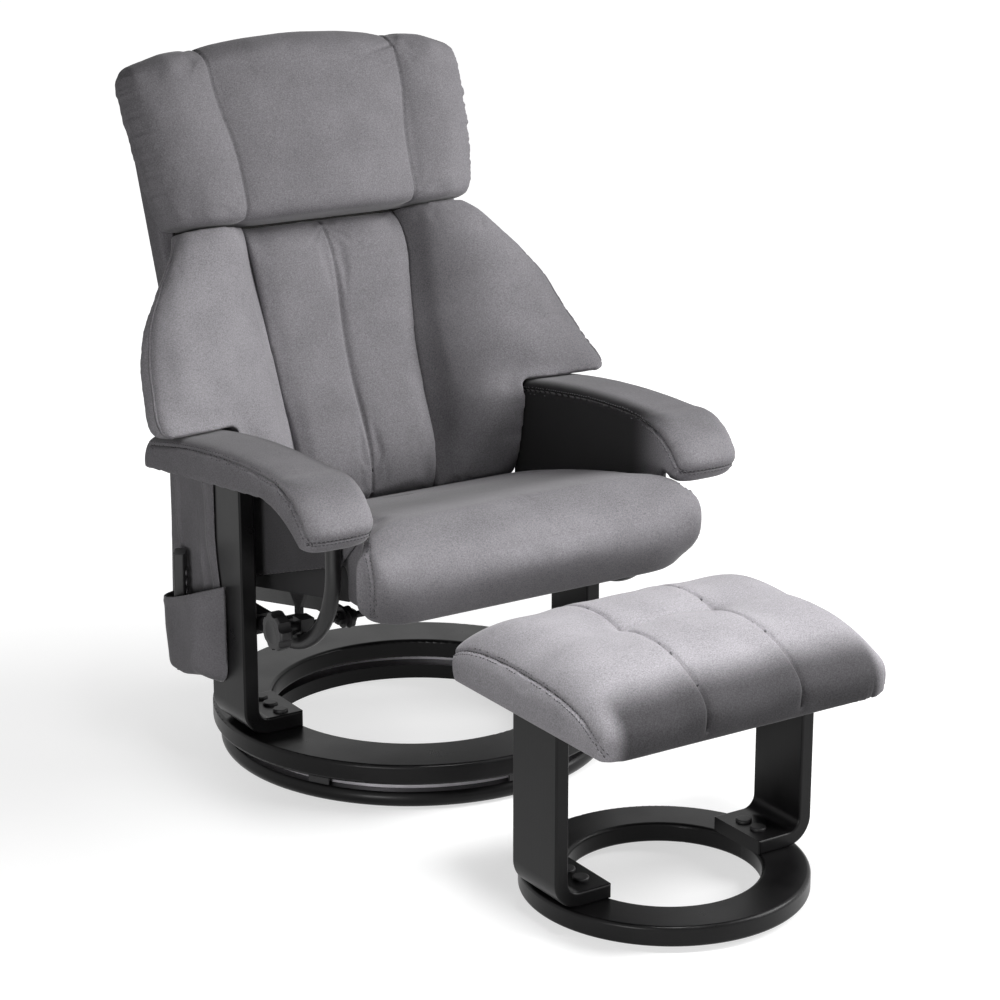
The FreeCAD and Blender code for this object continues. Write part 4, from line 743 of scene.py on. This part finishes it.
def round_corners(piece):
    """Draws the corners in: both offsets from the middle shrink by a share of (across x height) to the 4th."""
    spot = from_back(vertex_array(piece.data))
    middle, half = (HEAD_LOW + HEAD_HIGH) / 2, (HEAD_HIGH - HEAD_LOW) / 2
    rise = (spot[:, 2] - middle) / half
    width = HEAD_END_LOW + (HEAD_END_HIGH - HEAD_END_LOW) * (rise + 1) / 2
    corner = np.clip(np.abs(spot[:, 0] / width * rise), 0, 1) ** 4 * np.where(rise > 0, 1.0, 0.35)
    spot[:, 0] *= 1 - HEAD_ROUND * corner
    spot[:, 2] = middle + half * rise * (1 - HEAD_ROUND * corner)
    write_vertices(piece.data, on_back(spot))


headrest = soft_copy("headrest", "headrest_pad", voxel=0.005, rounds=8)
round_corners(headrest)
spot, seam, end = head_measures(headrest)
free = smooth_step(spot[:, 2], HEAD_LOW, HEAD_LOW + 0.03) * smooth_step(-spot[:, 1], 0.046, 0.06)
swell(headrest, (np.abs(seam) < 0.008) & (spot[:, 1] < -0.06), free, cap=0.007)
refine(headrest)
for sign in (-1, 1):
    sew(headrest, head_seam(headrest, sign), 0.0028, 0.014, 0.0022)
spot, seam, end = head_measures(headrest)
front = smooth_step(-spot[:, 1], 0.05, 0.065)
gather(headrest, spot[:, 2], np.exp(-np.abs(end) / 0.016) * front, 0.0013, 0.013, 3)
pull = np.exp(-((spot[:, 2] - 0.70 - 0.25 * seam) / 0.017) ** 2) * np.exp(-np.abs(seam) / 0.045)
gather(headrest, spot[:, 2] - 0.25 * seam, pull * (spot[:, 0] > 0) * (seam < 0), 0.0032, 0.016, 5)
pull = np.exp(-((spot[:, 2] - 0.62 - 0.2 * end) / 0.03) ** 2) * np.exp(-np.abs(end) / 0.05)
gather(headrest, spot[:, 2] - 0.2 * end, pull * (spot[:, 0] > 0) * front, 0.0014, 0.024, 7)
# Painted light: the headrest's colour is lifted 10 percent.
paint_light_and_shade(headrest, 0.1)
dress(headrest, "headrest", "back", VELVET)

# %% [markdown]
# ## The back panel
# Two long channels share a middle seam. The panel's sides are sewn to the wings, so they are kept
# crisp and pushed out until only a hair line is left between the pieces.

# %% Back panel
PANEL_LOW, PANEL_HIGH = 0.030, 0.464
PANEL_HALF_LOW, PANEL_HALF_HIGH = 0.112, 0.135
SLIT_SHARE = 0.0016


def panel_side(height):
    """Half width of the panel at a height on the back."""
    share = (height - PANEL_LOW) / (PANEL_HIGH - PANEL_LOW)
    return PANEL_HALF_LOW + (PANEL_HALF_HIGH - PANEL_HALF_LOW) * share


def flatten_channels(piece):
    """Lays the front on the best smooth sheet (powers of height and width), with a valley along the seam."""
    spot = from_back(vertex_array(piece.data))
    across, height = np.abs(spot[:, 0]), (spot[:, 2] - PANEL_LOW) / (PANEL_HIGH - PANEL_LOW)
    edge_gap = panel_side(spot[:, 2]) - across
    terms = np.stack([height ** i * (across / PANEL_HALF_HIGH) ** j for i in range(6) for j in (0, 2, 4)], axis=1)
    front = (spot[:, 1] < -0.06) & (edge_gap > 0.02) & (height > 0.02) & (height < 0.98)
    sheet = terms @ np.linalg.lstsq(terms[front], spot[front, 1], rcond=None)[0]
    share = smooth_step(edge_gap, 0.008, 0.035) * smooth_step(-spot[:, 1], 0.05, 0.06)
    share *= smooth_step(height, 0.015, 0.06) * smooth_step(1 - height, 0.015, 0.06)
    valley = 0.004 * np.exp(-(across / 0.02) ** 1.2)
    spot[:, 1] += share * (sheet + valley - spot[:, 1])
    write_vertices(piece.data, on_back(spot))


panel = soft_copy("back_cushion", "back_panel_pad", voxel=0.005, rounds=3)
spot = from_back(vertex_array(panel.data))
inside = smooth_step(panel_side(spot[:, 2]) - np.abs(spot[:, 0]), 0.006, 0.03)
inside *= smooth_step(-spot[:, 1], 0.05, 0.06)
ease(panel, inside, 90)
flatten_channels(panel)
spot = from_back(vertex_array(panel.data))
free = smooth_step(spot[:, 2], PANEL_LOW, PANEL_LOW + 0.03) * smooth_step(-spot[:, 1], 0.046, 0.06)
free *= smooth_step(panel_side(spot[:, 2]) - np.abs(spot[:, 0]), 0.0, 0.02)
swell(panel, np.abs(spot[:, 0]) < 0.004, free, cap=0.002)
refine(panel)
height = np.linspace(PANEL_LOW + 0.004, PANEL_HIGH - 0.004, 100)
starts = np.stack([0 * height, 0 * height - 0.5, height], axis=1)
sew(panel, even_line(cast_on(panel, on_back(starts), on_back(starts * (1, 0, 1)))), 0.0012, 0.006, 0.0022)
room = vertex_array(panel.data)
spot = from_back(room)
room[:, 0] += np.sign(room[:, 0]) * SLIT_SHARE * smooth_step(np.abs(room[:, 0]) / panel_side(spot[:, 2]), 0.8, 0.97)
write_vertices(panel.data, room)
# Painted light: the panel's colour is lifted 12 percent.
paint_light_and_shade(panel, 0.12)
dress(panel, "back_cushion", "back", VELVET)

# %% [markdown]
# ## The wings
# Each wing swells from the panel seam to a corded outer edge that flares over the arm. Behind the
# cord a narrow strip is gathered. The wing rests on the arm, so its foot keeps its shape.

# %% Wings
ARM_TOP_LINE = np.array([(-0.238, 0.518), (-0.14, 0.519), (-0.042, 0.514), (0.056, 0.503), (0.155, 0.486)])
SEAT_HALF = 0.245
WING_EDGE = np.array([
    (0.116, 0.112, -0.196), (0.132, 0.130, -0.200), (0.157, 0.136, -0.191), (0.182, 0.133, -0.181),
    (0.244, 0.118, -0.155), (0.301, 0.100, -0.143), (0.361, 0.064, -0.128), (0.413, 0.024, -0.110),
    (0.429, 0.008, -0.096),
])
CORD_BEHIND = 0.012
ARM_INNER, ARM_OUTER = 0.250, 0.355

for side, sign in (("left", 1), ("right", -1)):
    wing = soft_copy(f"wing_{side}", f"wing_pad_{side}", voxel=0.005, rounds=4)
    spot = from_back(vertex_array(wing.data))
    ease(wing, smooth_step(np.abs(spot[:, 0]), 0.24, 0.33), 50)
    room = vertex_array(wing.data)
    room[:, 0] += sign * 0.009 * smooth_step(np.abs(room[:, 0]), 0.27, 0.37)
    write_vertices(wing.data, room)
    spot = from_back(room)
    across = np.abs(spot[:, 0])
    over_arm = room[:, 2] - np.interp(room[:, 1], ARM_TOP_LINE[:, 0], ARM_TOP_LINE[:, 1])
    clearance = np.hypot(np.maximum(ARM_INNER - across, 0), np.maximum(over_arm, 0))
    free = smooth_step(clearance, 0.002, 0.06) * smooth_step(across - panel_side(spot[:, 2]), 0.0, 0.04)
    free *= smooth_step(-spot[:, 1], 0.046, 0.06) * smooth_step(0.466 - spot[:, 2], 0.0, 0.03)
    swell(wing, across - panel_side(spot[:, 2]) < 0.004, free, cap=0.009)
    refine(wing)
    edge = np.stack([sign * (SEAT_HALF + WING_EDGE[:, 1]), WING_EDGE[:, 2] + CORD_BEHIND,
                     PANEL_LOW + WING_EDGE[:, 0]], axis=1)
    line, away = lay_on(wing, even_line(on_back(edge)))
    line = even_line(line, 0.003, 6)
    gap, along = sew(wing, line, 0.0015, 0.006, 0.0)
    depth = from_back(vertex_array(wing.data))[:, 1]
    edge_depth = np.interp(along, np.linspace(0, along.max(), len(line)), from_back(line)[:, 1])
    behind = smooth_step(depth - edge_depth, -0.002, 0.008)
    gather(wing, along, np.exp(-gap / 0.016) * (0.25 + 0.75 * behind), 0.0011, 0.012, 11)
    room = vertex_array(wing.data)
    spot = from_back(room)
    inward = 1 - smooth_step(np.abs(spot[:, 0]) - panel_side(spot[:, 2]), 0.004, 0.02)
    room[:, 0] -= sign * SLIT_SHARE * inward
    write_vertices(wing.data, room)
    # Painted light and shade: the right wing's colour is lifted 35 percent; the left wing's is painted 28 percent
    # darker at the panel seam, about 20 percent lighter further out and 13 percent darker at its outer edge.
    out = np.abs(spot[:, 0]) - panel_side(spot[:, 2])
    shaded = -0.28 + 0.5 * smooth_step(out, -0.02, 0.14) - 0.35 * smooth_step(out, 0.12, 0.24)
    paint_light_and_shade(wing, 0.35 if sign < 0 else shaded)
    dress(wing, f"wing_{side}", "back", VELVET)
    cord, away = lay_on(wing, line)
    tube_along(f"wing_cord_{side}", cord + away * 0.0006, 0.0021, "back", VELVET)

# %% [markdown]
# ## The rear shell
# A padded cover closes the back. It is only copied, remeshed, rounded and subdivided; it is not swollen or sewn.

# %% Rear shell
shell = soft_copy("back_shell", "back_shell_pad", voxel=0.006, rounds=8)
refine(shell)
dress(shell, "back_shell", "back", VELVET)

# %% [markdown]
# ## The arms
# An arm is a firm pad over a board, with a lining that hangs down to the seat. Its side pieces are
# sewn to the top strip. A row of stitches runs on each side of the seam, which turns down over the
# nose and crosses its lower edge. Below the nose the side piece is slightly gathered.

# %% Arms
OUTER_SEAM = np.array([(0.150, 0.474), (0.04, 0.496), (-0.06, 0.509), (-0.15, 0.515), (-0.21, 0.514),
                       (-0.255, 0.503), (-0.287, 0.486), (-0.306, 0.462), (-0.318, 0.445)])
INNER_SEAM = np.array([(0.10, 0.481), (0.031, 0.492), (-0.093, 0.507), (-0.195, 0.510), (-0.25, 0.501),
                       (-0.285, 0.484), (-0.306, 0.462), (-0.318, 0.445)])

for side, sign in (("left", 1), ("right", -1)):
    arm = soft_copy(f"arm_pad_{side}", f"arm_cover_{side}", voxel=0.004, rounds=10)
    refine(arm)
    for face, places, reach in (("outer", OUTER_SEAM, ARM_OUTER), ("inner", INNER_SEAM, ARM_INNER)):
        points = np.stack([np.full(len(places), sign * reach), places[:, 0], places[:, 1]], axis=1)
        line, away = lay_on(arm, even_line(points))
        line = even_line(line, 0.004, 4)
        gap, along = sew(arm, line, 0.0024, 0.007, 0.0026)
        room = vertex_array(arm.data)
        below = (room[:, 1] < -0.26) & (np.abs(np.abs(room[:, 0]) - reach) < 0.012)
        gather(arm, along, np.exp(-gap / 0.012) * below, 0.0007, 0.009, 13)
        stitch_rows(f"arm_stitches_{face}_{side}", arm, "chair", line)
    ends = np.array([(sign * ARM_OUTER, -0.318, 0.445), (sign * 0.34, -0.332, 0.447), (sign * 0.30, -0.336, 0.447),
                     (sign * 0.265, -0.332, 0.447), (sign * ARM_INNER, -0.318, 0.445)])
    line, away = lay_on(arm, even_line(ends))
    sew(arm, line, 0.001, 0.005, 0.0012)
    stitch_rows(f"arm_stitches_nose_{side}", arm, "chair", line)
    room = vertex_array(arm.data)
    # Painted shade: each arm's inner face, except near the nose, is painted darker, by 92 percent on the left arm
    # and 65 percent on the right, and the upward faces are painted 30 percent darker.
    inner_face = smooth_step(-np.abs(room[:, 0]), -ARM_INNER - 0.03, -ARM_INNER - 0.006)
    inner_face *= 1 - smooth_step(-room[:, 1], 0.2, 0.3)
    top_face = smooth_step(normal_array(arm.data)[:, 2], 0.5, 0.95) * (1 - inner_face)
    paint_light_and_shade(arm, -(0.92 if sign > 0 else 0.65) * inner_face - 0.3 * top_face)
    dress(arm, f"arm_pad_{side}", "chair", VELVET)

# %% [markdown]
# ## The seat
# A broad cushion that rolls over its front edge. Each end of the roll is closed by a side piece with
# a stitched seam, and two short tucks are sewn into the top near the back.

# %% Seat
ROLL_SEAM = np.array([(-0.262, -0.28, 0.446), (-0.266, -0.312, 0.438), (-0.268, -0.335, 0.415),
                      (-0.268, -0.345, 0.385), (-0.266, -0.338, 0.350), (-0.262, -0.328, 0.322)])
TUCKS = (((-0.075, -0.03, 0.40), (-0.02, -0.05, 0.40)), ((0.165, -0.05, 0.40), (0.195, -0.095, 0.40)))

seat = soft_copy("seat_cushion", "seat_pad", voxel=0.006, rounds=4)
room = vertex_array(seat.data)
flare = 0.027 * smooth_step(-room[:, 1], 0.272, 0.318) * (room[:, 1] > -0.3185)
room[:, 0] += np.sign(room[:, 0]) * flare * smooth_step(np.abs(room[:, 0]), 0.21, 0.244)
write_vertices(seat.data, room)
ease(seat, smooth_step(-room[:, 1], 0.24, 0.30), 30)
room = vertex_array(seat.data)
side_gap = np.abs(room[:, 0]) - 0.244 - 0.03 * smooth_step(-room[:, 1], 0.27, 0.32)
free = smooth_step(room[:, 2], 0.31, 0.39) * smooth_step(-side_gap, 0.0, 0.06)
swell(seat, np.zeros(len(room), bool), free, cap=0.006)
refine(seat)
for sign in (-1, 1):
    line, away = lay_on(seat, even_line(ROLL_SEAM * (-sign, 1, 1)))
    line = even_line(line, 0.004, 4)
    sew(seat, line, 0.002, 0.008, 0.0026)
    stitch_rows("seat_stitches_" + ("left" if sign > 0 else "right"), seat, "chair", line)
for start, end in TUCKS:
    line, away = lay_on(seat, even_line([start, end]))
    sew(seat, line, 0.002, 0.010, 0.0014, fade=0.02)
room = vertex_array(seat.data)
# Painted light and shade: the seat's colour is lifted 3 percent, painted 26 percent darker on the crest, 46 percent
# darker at the rear of the top where the arms' shadow falls, and 30 percent darker towards the bottom.
rear_top = smooth_step(room[:, 1], -0.30, -0.16)
crest = smooth_step(room[:, 2], 0.40, 0.44)
under = smooth_step(-room[:, 2], -0.40, -0.32)
paint_light_and_shade(seat, 0.03 - 0.26 * crest - 0.46 * rear_top - 0.3 * under)
dress(seat, "seat_cushion", "chair", VELVET)

# %% [markdown]
# ## The footstool's cushion
# Two seams run over it from back to front and one joins them. Where they meet, two tufts are drawn
# down. Each end is closed by a side piece with a stitched seam, and the left front corner is gathered.

# %% Footstool
STOOL_X, STOOL_Y = -0.009, -0.647
STOOL_HALF = 0.223
STOOL_LOW = 0.285
TUFT_X = 0.074
SIDE_SEAM = np.array([(-0.468, 0.318), (-0.50, 0.334), (-0.55, 0.343), (-0.61, 0.346), (-0.68, 0.344),
                      (-0.73, 0.339), (-0.775, 0.329), (-0.80, 0.314), (-0.818, 0.298)])


def stool_measures(piece):
    """Room places, gap to the nearer seam across, and distance to the nearer tuft."""
    room = vertex_array(piece.data)
    cross = np.abs(np.abs(room[:, 0] - STOOL_X) - TUFT_X)
    return room, cross, np.hypot(cross, room[:, 1] - STOOL_Y)


stool = soft_copy("stool_cushion", "stool_pad", voxel=0.005, rounds=6)
room, cross, tuft = stool_measures(stool)
free = smooth_step(room[:, 2], STOOL_LOW, STOOL_LOW + 0.02)
between = (np.abs(room[:, 0] - STOOL_X) < TUFT_X) & (np.abs(room[:, 1] - STOOL_Y) < 0.004)
swell(stool, (cross < 0.004) | between | (room[:, 2] < STOOL_LOW + 0.004), free, cap=0.003)
ease(stool, smooth_step(vertex_array(stool.data)[:, 2], STOOL_LOW + 0.03, STOOL_LOW + 0.06), 50)
room, cross, tuft = stool_measures(stool)
level = 0.006 * np.exp(-(cross / 0.034) ** 2) + 0.004 * np.exp(-((room[:, 1] - STOOL_Y) / 0.04) ** 2)
sink = 0.010 * np.exp(-(tuft / 0.026) ** 1.2) - level
sink *= smooth_step(room[:, 2], STOOL_LOW + 0.012, STOOL_LOW + 0.06)
write_vertices(stool.data, room - normal_array(stool.data) * sink[:, None])
refine(stool)
turn = np.radians(np.linspace(5, 175, 120))
for sign in (-1, 1):
    across = np.full(len(turn), STOOL_X + sign * TUFT_X)
    starts = np.stack([across, STOOL_Y + 0.5 * np.cos(turn), STOOL_LOW + 0.5 * np.sin(turn)], axis=1)
    aims = np.stack([across, np.full_like(turn, STOOL_Y), np.full_like(turn, STOOL_LOW)], axis=1)
    sew(stool, even_line(cast_on(stool, starts, aims), rounds=3), 0.002, 0.006, 0.0028)
across = np.linspace(STOOL_X - TUFT_X, STOOL_X + TUFT_X, 40)
starts = np.stack([across, np.full_like(across, STOOL_Y), np.full_like(across, 0.6)], axis=1)
sew(stool, even_line(cast_on(stool, starts, starts * (1, 1, 0)), rounds=3), 0.002, 0.006, 0.0028)
for side, sign in (("left", 1), ("right", -1)):
    points = np.stack([np.full(len(SIDE_SEAM), STOOL_X + sign * (STOOL_HALF - 0.004)), *SIDE_SEAM.T], axis=1)
    line, away = lay_on(stool, even_line(points))
    line = even_line(line, 0.004, 4)
    sew(stool, line, 0.0015, 0.006, 0.0024)
    stitch_rows(f"stool_stitches_{side}", stool, "footstool", line)
room = vertex_array(stool.data)
corner = np.exp(-((room[:, 0] - 0.195) / 0.028) ** 2) * (room[:, 1] < -0.79)
corner *= np.exp(-np.abs(room[:, 2] - STOOL_LOW) / 0.02)
gather(stool, room[:, 0], corner, 0.0016, 0.010, 17)
room = vertex_array(stool.data)
# Painted light and shade: the stool's colour is lifted 36 percent, and its front face is painted down to 30 percent.
front_face = smooth_step(-room[:, 1], 0.77, 0.82) * (1 - smooth_step(np.abs(room[:, 0] - STOOL_X), 0.19, 0.215))
paint_light_and_shade(stool, 0.36 - 1.06 * front_face)
dress(stool, "stool_cushion", "footstool", VELVET)

# %% [markdown]
# ## Thin cloth
# Cloth has two faces. An outer and an inner grid of points, joined round their rim, make one closed
# skin with a real thickness, which a printer or a simulator needs.


# %% Cloth skins
def grid_faces(rows, columns, first=0):
    """Four-cornered faces of a grid of points numbered row by row."""
    row, column = np.meshgrid(np.arange(rows - 1), np.arange(columns - 1), indexing="ij")
    place = first + row * columns + column
    return np.stack([place, place + 1, place + columns + 1, place + columns], axis=-1).reshape(-1, 4)


def closed_cloth(outside, inside):
    """Joins an outer and an inner grid of the same shape into one closed skin."""
    rows, columns = outside.shape[:2]
    count = rows * columns
    numbers = np.arange(count).reshape(rows, columns)
    rim = np.concatenate([numbers[0, :], numbers[1:, -1], numbers[-1, -2::-1], numbers[-2:0:-1, 0]])
    after = np.roll(rim, -1)
    walls = np.stack([after, rim, rim + count, after + count], axis=1)
    back = grid_faces(rows, columns, count)[:, ::-1]
    vertices = np.concatenate([outside.reshape(-1, 3), inside.reshape(-1, 3)])
    return vertices, np.concatenate([grid_faces(rows, columns), back, walls])


# %% [markdown]
# ## The pocket
# A patch pocket of velvet hangs from a panel under the right arm. Its bag stands off the panel, is
# drawn in towards its edges, and its sloping mouth has a turned hem. Soft folds run down the panel.

# %% Pocket
POCKET_IN, POCKET_OUT = -0.3107, -0.352
POCKET_FRONT, POCKET_REAR, POCKET_LOW = 0.006, 0.176, 0.138
MOUTH_FRONT, MOUTH_REAR = 0.290, 0.236
FRONT_ROUND, REAR_ROUND = 0.030, 0.062
CLOTH = 0.0026
HANDSET_Y = 0.108
HANGER_FRONT, HANGER_REAR = 0.034, 0.170
HANGER_TOP_FRONT, HANGER_TOP_REAR = 0.4485, 0.4335


def pocket_floor(y):
    """Height of the bag's lower edge: straight, with a round corner at each end."""
    front = np.clip(FRONT_ROUND - (y - POCKET_FRONT), 0, FRONT_ROUND)
    rear = np.clip(REAR_ROUND - (POCKET_REAR - y), 0, REAR_ROUND)
    lift = FRONT_ROUND - np.sqrt(FRONT_ROUND ** 2 - front ** 2)
    return POCKET_LOW + lift + REAR_ROUND - np.sqrt(REAR_ROUND ** 2 - rear ** 2)


def bag_skin(inset):
    """The bag stands off by its depth times a round of the gap to each edge, with folds near the mouth."""
    along, rise = np.meshgrid(np.linspace(0, 1, 90), np.linspace(0, 1, 70), indexing="ij")
    y = POCKET_FRONT + inset + (POCKET_REAR - POCKET_FRONT - 2 * inset) * along
    width = y - 0.016 * (1 - rise) ** 1.5 * along
    mouth = MOUTH_FRONT + (MOUTH_REAR - MOUTH_FRONT) * along - 0.005 * np.sin(math.pi * along)
    low = pocket_floor(y) + inset
    z = low + (mouth - low) * rise
    side = 1 - (1 - np.clip((y - POCKET_FRONT) / 0.05, 0, 1)) ** 2.6
    side *= 1 - (1 - np.clip((POCKET_REAR - y) / 0.07, 0, 1)) ** 2.6
    loose = smooth_step(np.abs(y - HANDSET_Y), 0.024, 0.06)
    foot = 1 - (1 - np.clip((z - low) / (0.014 + 0.035 * loose), 0, 1)) ** 4
    hem = 0.0011 * np.exp(-((mouth - z - 0.007) / 0.005) ** 2)
    folds = 0.0022 * np.abs(np.sin((y * 0.8 + z * 0.45) / 0.04 * math.pi)) * np.sin(math.pi * along)
    folds *= 1 - np.exp(-((y - HANDSET_Y) / 0.03) ** 2)
    depth = (abs(POCKET_OUT - POCKET_IN) - 0.0008) * side * foot + hem - folds
    return np.stack([POCKET_IN - np.maximum(depth - inset, 0.0002), width, z], axis=-1)


def panel_skin(thick):
    """The flat panel behind the bag, a little wider below, with folds beside the handset's way."""
    along, rise = np.meshgrid(np.linspace(0, 1, 70), np.linspace(0, 1, 110), indexing="ij")
    top = HANGER_TOP_FRONT + (HANGER_TOP_REAR - HANGER_TOP_FRONT) * along
    wide = smooth_step(-rise, -0.75, -0.15)
    front = HANGER_FRONT + (POCKET_FRONT + 0.001 - HANGER_FRONT) * wide
    rear = HANGER_REAR + (POCKET_REAR - 0.001 - HANGER_REAR) * wide
    y = front + (rear - front) * along
    low = pocket_floor(y) + 0.001
    z = low + (top - low) * rise
    phase = (y - 0.16 * (z - HANGER_TOP_FRONT) + 0.004 * np.sin(z / 0.02)) / 0.031
    folds = 0.006 * np.exp(1.5 * (np.cos(2 * math.pi * phase) - 1)) * np.sin(math.pi * along) ** 0.5
    clear = smooth_step(np.abs(y - HANDSET_Y), 0.026, 0.040)
    folds *= clear * smooth_step(rise, 0.2, 0.4) * smooth_step(-rise, -1.0, -0.95)
    return np.stack([POCKET_IN - thick - (folds if thick else 0 * folds), y, z], axis=-1)


bag, bag_faces = closed_cloth(bag_skin(0.0), bag_skin(CLOTH))
sheet, sheet_faces = closed_cloth(panel_skin(0.0018), panel_skin(0.0))
pocket = new_piece("pocket_bag", np.concatenate([bag, sheet]), np.concatenate([bag_faces, sheet_faces + len(bag)]),
                   "chair", POCKET_CLOTH)
dress(pocket, "side_pocket", "chair", POCKET_CLOTH)
